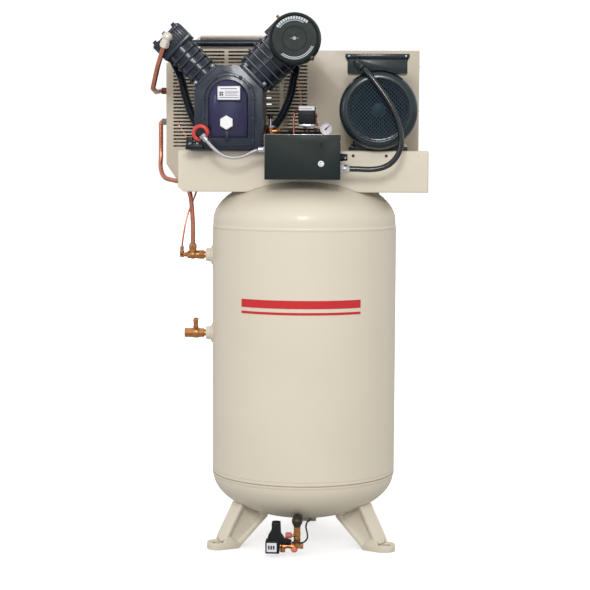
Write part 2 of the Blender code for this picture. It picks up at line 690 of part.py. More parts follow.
def make_belt_guard():
    """Two pressed trays that meet at a seam; a square window behind the pump lets its shaft in."""
    inner = inset_outline(GUARD_OUTLINE, GUARD_SHEET)
    front = prism(GUARD_OUTLINE, "xz", GUARD_FRONT, GUARD_SPLIT)
    front_room = prism(inner, "xz", GUARD_FRONT + GUARD_SHEET, GUARD_SPLIT + 0.05)
    window = box((CRANK_X - GUARD_WINDOW, 0.1, CRANK_Z - GUARD_WINDOW),
                 (CRANK_X + GUARD_WINDOW, 0.18, CRANK_Z + GUARD_WINDOW))
    motor_hole = rod((MOTOR_X, 0.1, MOTOR_Z), (0, 1, 0), 0.022, 0.08, 16)
    node("belt_guard_front", cut(front, front_room, window, motor_hole), BEIGE)
    back = prism(GUARD_OUTLINE, "xz", GUARD_SPLIT + GAP, GUARD_BACK)
    back_room = prism(inner, "xz", GUARD_SPLIT - 0.05, GUARD_BACK - GUARD_SHEET)
    node("belt_guard_back", cut(back, back_room), BEIGE)


# Electrical -------------------------------------------------------------------------------------
OIL_SWITCH_AIM = Vector((0.65, 0, -0.76)).normalized()
JUNCTION_AIM = Vector((0.70, -0.22, -0.68)).normalized()
JUNCTION_EXIT = Vector((0.173, -0.205, 1.582))


def make_junction_box():
    low, high = Vector((0.142, -0.190, 1.550)), Vector((0.3325, -0.020, 1.593))
    wall = 0.003
    body = box(low, high)
    knuckle = ball(JUNCTION_EXIT, 0.013, 10, 6)
    neck = rod((JUNCTION_EXIT.x, -0.188, JUNCTION_EXIT.z), (0, -1, 0), 0.012, 0.017, 10)
    stub = rod(JUNCTION_EXIT, JUNCTION_AIM, 0.0115, 0.024, 10)
    motor_round = rod((MOTOR_X, -0.3, MOTOR_Z), (0, 1, 0), MOTOR_R + 0.0006, 0.5, 28)
    body = join(body, neck, knuckle, stub)
    room = box(low + Vector((wall, wall, 0.016)), high + Vector((-wall, -wall, 0.05)))
    body = cut(body, motor_round, room)
    node("junction_box", body, BLACK)
    lid = box((0.135, -0.196, 1.6065), (0.3395, -0.014, 1.611))
    rims = [
        box((0.135, -0.196, 1.597), (0.139, -0.014, 1.610)),
        box((0.3355, -0.196, 1.597), (0.3395, -0.014, 1.610)),
        box((0.135, -0.018, 1.597), (0.3395, -0.014, 1.610)),
        box((0.135, -0.196, 1.597), (0.3395, -0.193, 1.610)),
    ]
    plug = box((0.146, -0.186, 1.5936), (0.3285, -0.024, 1.609))
    node("junction_box_lid", join(lid, *rims, plug), BLACK)


def make_control_box():
    """Starter enclosure with its cable glands, its lipped cover and the reset button."""
    low, high = Vector((-0.112, -0.2825, 1.216)), Vector((0.1205, -DECK_Y - 0.0005, 1.351))
    wall = 0.002
    body = box(low, high)
    glands = [
        rod((0.1195, -0.240, 1.247), (1, 0, 0), 0.013, 0.0320, 12),
        rod((0.1195, -0.240, 1.283), (1, 0, 0), 0.011, 0.0255, 12),
        rod((-0.111, -0.255, 1.307), (-1, 0, 0), 0.0085, 0.026, 10),
    ]
    body = join(body, *glands)
    room = box(low + Vector((wall, -0.05, wall)), high - Vector((wall, wall, wall)))
    node("control_box", cut(body, room), BLACK)
    shell = box((-0.115, BOX_FRONT, 1.213), (0.1235, -0.270, 1.354))
    inside = box((-0.113, BOX_FRONT + wall, 1.215), (0.1215, -0.25, 1.352))
    hole = rod((0.063, -0.30, 1.263), (0, 1, 0), 0.0103, 0.05, 16)
    node("control_box_cover", cut(shell, inside, hole), BLACK)
    button = join(rod((0.063, BOX_FRONT - 0.006, 1.263), (0, 1, 0), 0.0095, 0.016, 16),
                  rod((0.063, BOX_FRONT + 0.006, 1.263), (0, 1, 0), 0.013, 0.004, 16))
    node("reset_button", button, WHITE, (0.063, BOX_FRONT, 1.263))


MOTOR_CONDUIT_ROUTE = [
    JUNCTION_EXIT + JUNCTION_AIM * 0.0285, (0.2080, -0.2225, 1.5480), (0.2370, -0.2310, 1.5120),
    (0.2650, -0.2370, 1.4730), (0.2900, -0.2410, 1.4290), (0.3080, -0.2430, 1.3810),
    (0.3140, -0.2440, 1.3350), (0.3060, -0.2440, 1.2970), (0.2830, -0.2430, 1.2660),
    (0.2510, -0.2415, 1.2500), (0.2150, -0.2400, 1.2455), (0.1800, -0.2400, 1.2465),
    (0.1518, -0.2400, 1.2470),
]
SWITCH_CONDUIT_ROUTE = [
    OIL_SWITCH + OIL_SWITCH_AIM * 0.0330, (-0.2830, -0.2550, 1.3150), (-0.2660, -0.2560, 1.2995),
    (-0.2460, -0.2565, 1.2875), (-0.2240, -0.2565, 1.2815), (-0.2010, -0.2560, 1.2815),
    (-0.1780, -0.2555, 1.2880), (-0.1570, -0.2550, 1.2985), (-0.1392, -0.2550, 1.3055),
]


def conduit(route, radius, per_span):
    """A flexible conduit as a curve with a round bevel and filled ends."""
    points = smooth_route(route, per_span)
    curve = bpy.data.curves.new("conduit", "CURVE")
    curve.dimensions = "3D"
    spline = curve.splines.new("POLY")
    spline.points.add(len(points) - 1)
    for target, point in zip(spline.points, points):
        target.co = (*point, 1.0)
    curve.bevel_depth = radius
    curve.bevel_resolution = 2
    curve.use_fill_caps = True
    made = bpy.data.objects.new("conduit", curve)
    bpy.context.scene.collection.objects.link(made)
    return made


def curve_node(name, obj, finish):
    obj.name = name
    obj.data.name = name
    obj.parent = AXIS
    obj.data.materials.append(finish)


def make_conduits():
    curve_node("motor_conduit", conduit(MOTOR_CONDUIT_ROUTE, 0.009, 2), RUBBER)
    curve_node("switch_conduit", conduit(SWITCH_CONDUIT_ROUTE, 0.006, 2), STEEL)


# Pipework ---------------------------------------------------------------------------------------
MANIFOLD_X = 0.011
MANIFOLD_Y = -0.100
MANIFOLD_Z = 1.366
UNLOADER_X = -0.031
UNLOADER_Y = -0.125
UPPER_PORT_Z = 0.957
LOWER_PORT_Z = 0.695
BOSS_END = -TANK_R - 0.0008 - 0.0215 - GAP
TEE_X = -0.372
GUARD_SIDE = -0.480 - GAP


def make_discharge_tube():
    front = SECOND_STAGE["y"] - SECOND_STAGE["head"][1] - GAP
    elbow = rod((-0.431, front, 1.662), (0, -1, 0), 0.016, 0.026, 10)
    knuckle = ball((-0.431, front - 0.028, 1.662), 0.0175, 10, 6)
    nut = rod((-0.431, front - 0.028, 1.662), (-0.33, 0.10, -0.94), 0.013, 0.036, 8)
    points = [(-0.431, front - 0.028, 1.662), (-0.463, -0.185, 1.575), (-0.486, -0.140, 1.502),
              (-0.499, 0.040, 1.497), (-0.500, COOLER_Y, 1.505), (GUARD_SIDE, COOLER_Y, 1.505)]
    pipe = tube(rounded_route(points, 0.028), 0.008, 8)
    union = rod((-0.496, COOLER_Y, 1.505), (1, 0, 0), 0.0125, 0.496 + GUARD_SIDE, 6)
    node("discharge_tube", join(pipe, elbow, knuckle, nut, union), COPPER)


def make_aftercooler():
    """The cooling loop inside the guard, in the flywheel's wind."""
    inside = GUARD_OUTLINE[0][0] + GUARD_SHEET + GAP
    start, end = math.radians(162), math.radians(-158)
    points = [Vector((inside, COOLER_Y, 1.505)), Vector((inside + 0.014, COOLER_Y, 1.508))]
    for i in range(15):
        angle = start + (end - start) * i / 14
        points.append(CRANK + Vector((COOLER_R * math.cos(angle), COOLER_Y, COOLER_R * math.sin(angle))))
    points += [Vector((inside + 0.014, COOLER_Y, 1.398)), Vector((inside, COOLER_Y, 1.400))]
    node("aftercooler_tube", tube(smooth_route(points, 2), 0.007, 6), COPPER)


def make_delivery_tube():
    bend = [(-0.500, COOLER_Y, 1.360), (-0.500, 0.170, 1.290), (-0.498, 0.150, 1.240), (-0.478, 0.105, 1.211),
            (-0.440, 0.055, 1.202), (-0.408, 0.018, 1.196), (-0.386, 0.002, 1.172), (-0.377, 0.0, 1.130),
            (TEE_X, 0.0, 1.060), (TEE_X, 0.0, UPPER_PORT_Z + 0.0305)]
    top = rounded_route([(GUARD_SIDE, COOLER_Y, 1.400), (-0.500, COOLER_Y, 1.400), (-0.500, COOLER_Y, 1.360)],
                        0.012)
    pipe = tube(top[:-1] + smooth_route(bend, 3), 0.0075, 8)
    union = rod((-0.496, COOLER_Y, 1.400), (1, 0, 0), 0.0125, 0.496 + GUARD_SIDE, 6)
    node("delivery_tube", join(pipe, union), COPPER)


def make_unloader_tube():
    route = [(-0.4085, 0.0, UPPER_PORT_Z + 0.0165), (-0.406, 0.0, 1.005), (-0.399, 0.004, 1.050),
             (-0.389, 0.014, 1.095), (-0.372, 0.022, 1.140), (-0.360, 0.022, 1.180),
             (-0.350, 0.0, 1.250), (-0.320, -0.050, 1.286), (-0.200, -0.088, 1.289),
             (-0.060, -0.118, 1.286), (-0.0335, UNLOADER_Y, 1.300), (UNLOADER_X, UNLOADER_Y, 1.340),
             (UNLOADER_X, UNLOADER_Y, 1.405), (-0.027, UNLOADER_Y, 1.424), (-0.0182, UNLOADER_Y, 1.431)]
    node("unloader_tube", tube(smooth_route(route, 2), 0.0032, 6), COPPER)


def make_check_valve():
    z = UPPER_PORT_Z
    nipple = rod((BOSS_END, 0, z), (-1, 0, 0), 0.0105, 0.015, 10)
    hexagon = rod((BOSS_END - 0.006, 0, z), (-1, 0, 0), 0.0165, 0.024, 6)
    body = rod((BOSS_END - 0.028, 0, z), (-1, 0, 0), 0.0130, 0.040, 12)
    branch = rod((TEE_X, 0, z), (0, 0, 1), 0.0130, 0.030, 8)
    elbow_in = rod((-0.386, 0, z), (-1, 0, 0), 0.0070, 0.022, 8)
    elbow_up = rod((-0.4085, 0, z - 0.009), (0, 0, 1), 0.0075, 0.025, 8)
    node("check_valve", join(body, nipple, hexagon, branch, elbow_in, elbow_up), BRASS)


def make_outlet_valve():
    """A quarter-turn ball valve with a short tee handle, bored from its open end."""
    z = LOWER_PORT_Z
    nipple = rod((BOSS_END, 0, z), (-1, 0, 0), 0.0105, 0.016, 10)
    inner_hex = rod((BOSS_END - 0.008, 0, z), (-1, 0, 0), 0.0165, 0.018, 6)
    chest = rod((BOSS_END - 0.022, 0, z), (-1, 0, 0), 0.0180, 0.026, 12)
    outer_hex = rod((BOSS_END - 0.044, 0, z), (-1, 0, 0), 0.0170, 0.028, 6)
    stem = rod((VALVE_X, 0, z), (0, 0, 1), 0.0080, 0.032, 10)
    mouth = rod((BOSS_END - 0.045, 0, z), (-1, 0, 0), 0.0095, 0.05, 12)
    body = cut(join(chest, nipple, inner_hex, outer_hex, stem), mouth)
    node("outlet_valve_body", body, BRASS)
    grip = box((VALVE_X - 0.0075, -0.030, z + 0.041), (VALVE_X + 0.0075, 0.030, z + 0.046))
    hub = rod((VALVE_X, 0, z + 0.0323), (0, 0, 1), 0.0085, 0.018, 8)
    node("outlet_valve_handle", join(grip, hub), BRASS, (VALVE_X, 0, z))


VALVE_X = BOSS_END - 0.035
DRAIN = Vector((-0.008, -0.262, 0))


DRAIN_COCK_Z = 0.0705


def make_drain():
    """The drain stack under the bottom head: iron elbow, strainer body, timer valve and its cock."""
    iron = join(rod((DRAIN.x, DRAIN.y, 0.095), (0, 0, 1), 0.0105, 0.021, 12),
                ball((DRAIN.x, DRAIN.y, 0.1165), 0.0165, 12, 8),
                rod((DRAIN.x, DRAIN.y, 0.1165), (0, 1, 0), 0.0150, 0.120, 12))
    iron = cut(iron, tank_cutter())
    body = rod((DRAIN.x, DRAIN.y, 0.030), (0, 0, 1), 0.0125, 0.073, 8)
    bar = rod((-0.0637, DRAIN.y, 0.036), (1, 0, 0), 0.0090, 0.0757, 8)
    knob = ball((-0.017, DRAIN.y, 0.0265), 0.0115, 10, 6)
    elbow = rod((-0.054, DRAIN.y, 0.016), (0, 0, 1), 0.0085, 0.020, 8)
    seat = rod((DRAIN.x, DRAIN.y, DRAIN_COCK_Z), (-1, 0, 0), 0.0050, 0.0170, 8)
    node("drain_valve", join(body, iron, bar, knob, elbow, seat), BRASS)
    coil = box((-0.109, -0.285, 0.0145), (-0.0640, -0.243, 0.056))
    connector = prism([(-0.102, 0.048), (-0.102, 0.068), (-0.089, 0.090), (-0.089, 0.1145),
                       (-0.062, 0.1145), (-0.060, 0.076), (-0.048, 0.059), (-0.026, 0.0535), (-0.026, 0.048)],
                      "xz", -0.283, -0.245)
    node("drain_timer", join(coil, connector), BLACK)
    cock = rod((-0.0253, DRAIN.y, DRAIN_COCK_Z), (-1, 0, 0), 0.0095, 0.0200, 10)
    node("drain_cock", cock, RED, (-0.0253, DRAIN.y, DRAIN_COCK_Z))


CABLE_AZIMUTH = 70.0


def along_head(azimuth, rise, centre_z, direction):
    """A point just off a head, at an azimuth from +X and an angle up its curve from the widest circle."""
    azimuth, rise = math.radians(azimuth), math.radians(rise)
    reach = (TANK_R + HEAD_CABLE_GAP) * math.cos(rise)
    height = (HEAD_DEPTH + HEAD_CABLE_GAP) * math.sin(rise)
    return Vector((reach * math.cos(azimuth), reach * math.sin(azimuth), centre_z + direction * height))


def make_drain_cable():
    """The timer's lead, clipped under and up the back of the receiver to the starter box."""
    route = [Vector((-0.0245, -0.2805, 0.0530)), Vector((-0.0050, -0.2815, 0.0515)),
             Vector((0.0140, -0.2790, 0.0530)), Vector((0.0250, -0.2730, 0.0640)),
             Vector((0.0250, -0.2650, 0.0780)), Vector((0.0200, -0.2480, 0.0960)),
             Vector((0.0230, -0.2150, 0.1050)), Vector((0.0250, -0.1300, 0.0880)),
             Vector((0.0270, -0.0300, 0.0760))]
    for rise in (75, 60, 45, 30, 15, 2):
        route.append(along_head(CABLE_AZIMUTH, rise, BOTTOM_HEAD_Z, -1))
    for z in (0.350, 0.600, 0.850, 1.040):
        route.append(along_head(CABLE_AZIMUTH, 0, z, 1))
    for azimuth, rise in ((62, 4), (50, 9), (40, 15), (31, 22), (24, 30)):
        route.append(along_head(azimuth, rise, TOP_HEAD_Z, 1))
    route += [Vector((0.235, 0.080, 1.205)), Vector((0.215, 0.045, 1.252)), Vector((0.180, -0.010, 1.283)),
              Vector((0.140, -0.070, 1.285)), Vector((0.110, -0.130, 1.285)), Vector((0.105, -0.1510, 1.285))]
    node("drain_cable", tube(smooth_route(route, 2), 0.0027, 6), RUBBER)


# Controls on the deck ---------------------------------------------------------------------------
GAUGE = Vector((0.074, -0.100, 1.375))
GAUGE_R = 0.0207


def make_manifold():
    """The riser from the receiver and the brass cross that carries switch, gauge and safety valve."""
    foot = TOP_HEAD_Z + head_height(MANIFOLD_X, MANIFOLD_Y + 0.011) + 0.0012
    riser = rod((MANIFOLD_X, MANIFOLD_Y, foot), (0, 0, 1), 0.0100, MANIFOLD_Z - foot, 10)
    bar = rod((-0.0750, MANIFOLD_Y, MANIFOLD_Z), (1, 0, 0), 0.0100, 0.1475, 8)
    top = rod((MANIFOLD_X, MANIFOLD_Y, MANIFOLD_Z), (0, 0, 1), 0.0085, 0.0137, 10)
    hexes = [
        rod((-0.050, MANIFOLD_Y, MANIFOLD_Z), (1, 0, 0), 0.0130, 0.014, 6),
        rod((0.035, MANIFOLD_Y, MANIFOLD_Z), (1, 0, 0), 0.0130, 0.012, 6),
    ]
    elbow = ball((GAUGE.x, MANIFOLD_Y + 0.004, MANIFOLD_Z), 0.0115, 8, 6)
    stem = rod((GAUGE.x, MANIFOLD_Y + 0.004, MANIFOLD_Z), (0, 0, 1), 0.0060, 0.009, 8)
    bar = join(bar, riser, top, *hexes, elbow)
    node("manifold", join(bar, stem), BRASS)


def make_gauge():
    """A dial gauge seen from the front, with a cup-shaped case and a needle on its pivot."""
    back = MANIFOLD_Y - 0.0120
    case = lathe([(0, 0), (GAUGE_R - 0.002, 0), (GAUGE_R, 0.004), (GAUGE_R, 0.020),
                  (GAUGE_R - 0.0018, 0.020), (GAUGE_R - 0.0018, 0.0155), (0, 0.0155)],
                 (GAUGE.x, back, GAUGE.z), (0, -1, 0), 20)
    node("gauge_body", case, STEEL)
    face = back - 0.0155
    hub = rod((GAUGE.x, face - 0.0006, GAUGE.z), (0, -1, 0), 0.0026, 0.0022, 8)
    pointer = prism([(-0.0012, -0.005), (0.0012, -0.005), (0.0006, 0.0150), (-0.0006, 0.0150)],
                    "xz", face - 0.0020, face - 0.0010)
    swing = Matrix.Translation((GAUGE.x, 0, GAUGE.z)) @ Matrix.Rotation(math.radians(48), 4, "Y")
    needle = join(hub, moved(pointer, swing))
    node("gauge_needle", needle, BLACK, (GAUGE.x, face, GAUGE.z))


def make_pressure_switch():
    case = box((-0.016, -0.138, 1.387), (0.038, -0.070, 1.447))
    base = box((-0.013, -0.134, 1.3802), (0.035, -0.074, 1.390))
    node("pressure_switch", join(case, base), BLACK)
    hub = rod((0.0383, -0.105, 1.418), (1, 0, 0), 0.0065, 0.006, 10)
    arm = box((0.0390, -0.1085, 1.388), (0.0430, -0.1015, 1.418))
    tip = box((0.0390, -0.1105, 1.3840), (0.0480, -0.0995, 1.3930))
    node("pressure_switch_lever", join(hub, arm, tip), RED, (0.0383, -0.105, 1.418))


def make_safety_valve():
    z = 1.3660
    start = -0.0753
    body = rod((start, MANIFOLD_Y, z), (-1, 0, 0), 0.0105, 0.024, 6)
    bonnet = rod((-0.1080, MANIFOLD_Y, z - 0.010), (0, 0, 1), 0.0115, 0.026, 10)
    disc = rod((-0.1080, MANIFOLD_Y, z + 0.012), (0, 0, 1), 0.0180, 0.006, 16)
    stem = rod((-0.1080, MANIFOLD_Y, z + 0.014), (0, 0, 1), 0.0042, 0.030, 8)
    pull = ball((-0.1080, MANIFOLD_Y, z + 0.048), 0.0075, 8, 6)
    node("safety_valve", join(body, bonnet, disc, stem, pull), BRASS)


# The machine ------------------------------------------------------------------------------------
def clear_scene():
    for obj in list(bpy.data.objects):
        bpy.data.objects.remove(obj)


clear_scene()
AXIS = bpy.data.objects.new("receiver_axis", None)
bpy.context.scene.collection.objects.link(AXIS)

make_tank()
for leg_name, leg_angle in LEG_ANGLES.items():
    make_leg(leg_name, leg_angle)
make_port_boss("upper_port_boss", UPPER_PORT_Z)
make_port_boss("lower_port_boss", LOWER_PORT_Z)
make_top_plate()
make_crankcase()
make_crankcase_cover()
make_bearings()
make_crankshaft()
for stage_name, stage in (("second", SECOND_STAGE), ("first", FIRST_STAGE)):
    make_cylinder(stage_name + "_cylinder", stage)
    make_head(stage_name + "_head", stage)
    make_piston_and_rod(stage_name, stage)
make_flywheel()
make_intercoolers()
make_air_filter()
make_oil_fittings()
make_motor()
make_motor_pulley()
make_belt()
make_belt_guard()
make_junction_box()
make_control_box()
make_conduits()
make_discharge_tube()
make_aftercooler()
make_delivery_tube()
make_unloader_tube()
make_check_valve()
make_outlet_valve()
make_drain()
make_drain_cable()
make_manifold()
make_gauge()
make_pressure_switch()
make_safety_valve()
AXIS.location = CENTRE_SHIFT
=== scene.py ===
"""The looks of the vertical tank compressor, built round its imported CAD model.

Shapes are drawn in metres about the receiver's own axis, and `SHIFT`, read from the packed
receiver, carries them to their place. Each piece rides on the CAD body that it belongs to.
"""

import math

import bmesh
import bpy
from mathutils import Matrix, Vector


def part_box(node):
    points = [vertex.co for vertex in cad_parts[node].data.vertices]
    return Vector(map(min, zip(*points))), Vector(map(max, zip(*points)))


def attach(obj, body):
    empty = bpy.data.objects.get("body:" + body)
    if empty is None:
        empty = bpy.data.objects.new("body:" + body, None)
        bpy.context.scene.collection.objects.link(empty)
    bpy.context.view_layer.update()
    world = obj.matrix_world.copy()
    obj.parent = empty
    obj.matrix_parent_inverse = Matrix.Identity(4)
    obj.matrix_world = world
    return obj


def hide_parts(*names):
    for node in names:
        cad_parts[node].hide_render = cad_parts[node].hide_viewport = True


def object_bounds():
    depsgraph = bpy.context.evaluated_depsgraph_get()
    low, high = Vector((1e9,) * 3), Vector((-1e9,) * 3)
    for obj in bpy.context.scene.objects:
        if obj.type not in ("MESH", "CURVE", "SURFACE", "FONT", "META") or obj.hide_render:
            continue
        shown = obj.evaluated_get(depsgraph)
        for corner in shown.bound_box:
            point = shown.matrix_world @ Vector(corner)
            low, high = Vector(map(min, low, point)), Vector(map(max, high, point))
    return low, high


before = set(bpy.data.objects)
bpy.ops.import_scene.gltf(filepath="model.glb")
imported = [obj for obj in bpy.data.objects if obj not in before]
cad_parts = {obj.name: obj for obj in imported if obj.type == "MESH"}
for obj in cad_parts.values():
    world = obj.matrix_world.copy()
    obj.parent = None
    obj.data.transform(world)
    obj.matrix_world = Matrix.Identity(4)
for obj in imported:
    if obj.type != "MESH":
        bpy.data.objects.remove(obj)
CAD_BOX = [list(corner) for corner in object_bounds()]
for startup_name in ("Cube", "Light", "Camera"):
    startup = bpy.data.objects.get(startup_name)
    if startup is not None:
        bpy.data.objects.remove(startup)

# Places and sizes, from the frame ---------------------------------------------------------------
SHELL_LOW, SHELL_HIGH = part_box("tank_shell")
SHIFT = Vector(((SHELL_LOW.x + SHELL_HIGH.x) / 2, (SHELL_LOW.y + SHELL_HIGH.y) / 2, 0.0))
TANK_R = 0.3048
UP = (0, 0, 1)
TO_FRONT = (0, -1, 0)
TO_BACK = (0, 1, 0)
TO_LEFT = (-1, 0, 0)
TO_RIGHT = (1, 0, 0)


def low(node):
    """A CAD node's lowest corner, about the receiver's axis."""
    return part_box(node)[0] - SHIFT


def high(node):
    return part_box(node)[1] - SHIFT


HEAD_DEPTH = 0.150
BOTTOM_HEAD_Z = 0.233
TOP_HEAD_Z = 1.075
SEAM_BOTTOM_Z = SHELL_LOW.z
SEAM_TOP_Z = SHELL_HIGH.z
GAP = 0.0003

DECK_LOW, DECK_HIGH = low("top_plate"), high("top_plate")
CRANK = Vector((-0.235, 0.0, 1.464))
CRANKCASE_FRONT = low("crankcase").y
MOTOR = Vector((0.242, 0.0, 1.4337))
MOTOR_R = 0.1255
MOTOR_FRONT = low("motor_fan_cover").y
SECOND_STAGE = {"lean": -45.0, "y": -0.131, "bore": 0.0321, "fin": 0.050, "head": (0.0565, 0.052, 0.297)}
FIRST_STAGE = {"lean": 45.0, "y": -0.107, "bore": 0.0511, "fin": 0.073, "head": (0.075, 0.072, 0.301)}
BARREL_BASE = 0.1003
HEAD_BASE = 0.231
FIN_HEIGHTS = (0.133, 0.158, 0.183, 0.206)
FLYWHEEL_R = 0.203
PULLEY_R = 0.076
BELT_FRONT = low("flywheel").y
BELT_BACK = high("flywheel").y
GUARD_FRONT = low("belt_guard_front").y
GUARD_SPLIT = high("belt_guard_front").y
GUARD_BACK = high("belt_guard_back").y
GUARD_OUTLINE = [(-0.480, 1.256), (-0.480, 1.598), (-0.360, 1.692), (-0.125, 1.692), (0.0, 1.642),
                 (0.380, 1.642), (0.380, 1.230), (0.0, 1.212), (-0.440, 1.197)]
BOX_FRONT = low("control_box_cover").y
PLUG = Vector((-0.237, -0.2470, 1.391))
FILTER = Vector((-0.0235, 0.0, 1.6545))
FILTER_R = 0.0823
OIL_SWITCH = Vector((-0.321, -0.254, 1.358))
OIL_SWITCH_AIM = Vector((0.65, 0, -0.76)).normalized()
JUNCTION_AIM = Vector((0.70, -0.22, -0.68)).normalized()
JUNCTION_EXIT = Vector((0.173, -0.205, 1.582))
COOLER_Y = 0.172
COOLER_R = 0.215
UPPER_PORT_Z = 0.957
LOWER_PORT_Z = 0.695
BOSS_END = low("upper_port_boss").x - GAP
TEE_X = -0.372
VALVE_X = BOSS_END - 0.035
GUARD_SIDE = -0.480 - GAP
MANIFOLD = Vector((0.011, -0.100, 1.366))
UNLOADER = Vector((-0.031, -0.125, 0.0))
GAUGE = Vector((0.074, -0.112, 1.375))
GAUGE_R = 0.0207
DRAIN = Vector((-0.008, -0.262, 0.0))
DRAIN_COCK_Z = 0.0705

# Shape helpers: each returns a bmesh drawn about the receiver's axis ------------------------------


def rounded(builder, bevel, segments, sharp_degrees=30):
    """Rounds every edge sharper than the angle."""
    if bevel <= 0:
        return builder
    builder.normal_update()
    edges = [e for e in builder.edges
             if len(e.link_faces) == 2 and e.calc_face_angle(0) > math.radians(sharp_degrees)]
    bmesh.ops.bevel(builder, geom=edges, offset=bevel, offset_type="OFFSET", segments=segments,
                    profile=0.5, affect="EDGES", clamp_overlap=True)
    return builder


def box(low_corner, high_corner, bevel=0.001, segments=2):
    builder = bmesh.new()
    bmesh.ops.create_cube(builder, size=1.0)
    low_corner, high_corner = Vector(low_corner), Vector(high_corner)
    bmesh.ops.scale(builder, vec=high_corner - low_corner, verts=builder.verts)
    bmesh.ops.translate(builder, vec=(low_corner + high_corner) / 2, verts=builder.verts)
    return rounded(builder, bevel, segments)


def prism(outline, plane, start, end, bevel=0.0, segments=2):
    """A flat outline in plane "xz", "xy" or "yz", pushed along the third axis from start to end."""
    place = {
        "xz": lambda a, b, c: (a, c, b),
        "xy": lambda a, b, c: (a, b, c),
        "yz": lambda a, b, c: (c, a, b),
    }[plane]
    builder = bmesh.new()
    rings = []
    for level in (start, end):
        rings.append([builder.verts.new(place(a, b, level)) for a, b in outline])
    builder.faces.new(rings[0])
    builder.faces.new(rings[1][::-1])
    count = len(outline)
    for i in range(count):
        j = (i + 1) % count
        builder.faces.new((rings[0][i], rings[1][i], rings[1][j], rings[0][j]))
    bmesh.ops.recalc_face_normals(builder, faces=builder.faces)
    return rounded(builder, bevel, segments)


def lathe(profile, point, direction, sides=64):
    """Turns (radius, distance) points round the axis through point; a profile off the axis is a ring."""
    turn = Vector(UP).rotation_difference(Vector(direction)).to_matrix().to_4x4()
    place = Matrix.Translation(point) @ turn
    builder = bmesh.new()
    rings = []
    for radius, distance in profile:
        if radius < 1e-7:
            rings.append([builder.verts.new(place @ Vector((0, 0, distance)))])
            continue
        ring_points = []
        for i in range(sides):
            angle = 2 * math.pi * (i + 0.5) / sides
            local = Vector((radius * math.cos(angle), radius * math.sin(angle), distance))
            ring_points.append(builder.verts.new(place @ local))
        rings.append(ring_points)
    pairs = list(zip(rings, rings[1:]))
    if len(rings[0]) > 1:
        pairs.append((rings[-1], rings[0]))
    for first, second in pairs:
        for i in range(sides):
            j = (i + 1) % sides
            if len(first) == 1:
                builder.faces.new((first[0], second[i], second[j]))
            elif len(second) == 1:
                builder.faces.new((first[i], second[0], first[j]))
            else:
                builder.faces.new((first[i], second[i], second[j], first[j]))
    bmesh.ops.recalc_face_normals(builder, faces=builder.faces)
    return builder


def rod(point, direction, radius, length, sides=32, end_radius=None, chamfer=0.0006):
    """A round or many-sided bar from point along direction, with its two rims broken."""
    if end_radius is None:
        end_radius = radius
    chamfer = min(chamfer, radius * 0.4, end_radius * 0.4, length * 0.4)
    profile = [(0, 0), (radius - chamfer, 0), (radius, chamfer), (end_radius, length - chamfer),
               (end_radius - chamfer, length), (0, length)]
    return lathe(profile, point, direction, sides)


def ring(point, direction, inner, outer, length, sides=48, chamfer=0.0005):
    profile = [(inner, 0), (outer - chamfer, 0), (outer, chamfer), (outer, length - chamfer),
               (outer - chamfer, length), (inner, length)]
    return lathe(profile, point, direction, sides)


def ball(point, radius, sides=24, rows=12, direction=UP, squash=1.0):
    profile = [(radius * math.sin(math.pi * i / rows), -squash * radius * math.cos(math.pi * i / rows))
               for i in range(rows + 1)]
    profile[0] = (0, -radius * squash)
    profile[-1] = (0, radius * squash)
    return lathe(profile, point, direction, sides)


def smooth_route(points, per_span):
    """Catmull-Rom points through a given route."""
    points = [Vector(p) for p in points]
    padded = [2 * points[0] - points[1]] + points + [2 * points[-1] - points[-2]]
    route = []
    for i in range(len(points) - 1):
        a, b, c, d = padded[i : i + 4]
        for k in range(per_span):
            t = k / per_span
            route.append(0.5 * (2 * b + (c - a) * t + (2 * a - 5 * b + 4 * c - d) * t * t
                                + (3 * b - a - 3 * c + d) * t**3))
    route.append(points[-1])
    return route


def rounded_route(points, bend, steps=8):
    """Straight runs with each corner rounded to about the bend radius, as a pipe bender leaves them."""
    points = [Vector(p) for p in points]
    route = [points[0]]
    for before, corner, after in zip(points, points[1:], points[2:]):
        into = (before - corner).normalized()
        out = (after - corner).normalized()
        half = into.angle(out) / 2
        reach = bend / math.tan(half)
        reach = min(reach, (before - corner).length * 0.48, (after - corner).length * 0.48)
        start, end = corner + into * reach, corner + out * reach
        for k in range(steps + 1):
            t = k / steps
            route.append(start * (1 - t) ** 2 + corner * 2 * t * (1 - t) + end * t * t)
    route.append(points[-1])
    return route


def even_route(route, step):
    """The same line with points a fixed step apart."""
    lengths = [0.0]
    for a, b in zip(route, route[1:]):
        lengths.append(lengths[-1] + (b - a).length)
    count = max(2, round(lengths[-1] / step))
    result = []
    segment = 0
    for k in range(count + 1):
        target = lengths[-1] * k / count
        while segment < len(route) - 2 and lengths[segment + 1] < target:
            segment += 1
        span = lengths[segment + 1] - lengths[segment]
        t = (target - lengths[segment]) / span if span else 0.0
        result.append(route[segment].lerp(route[segment + 1], t))
    return result


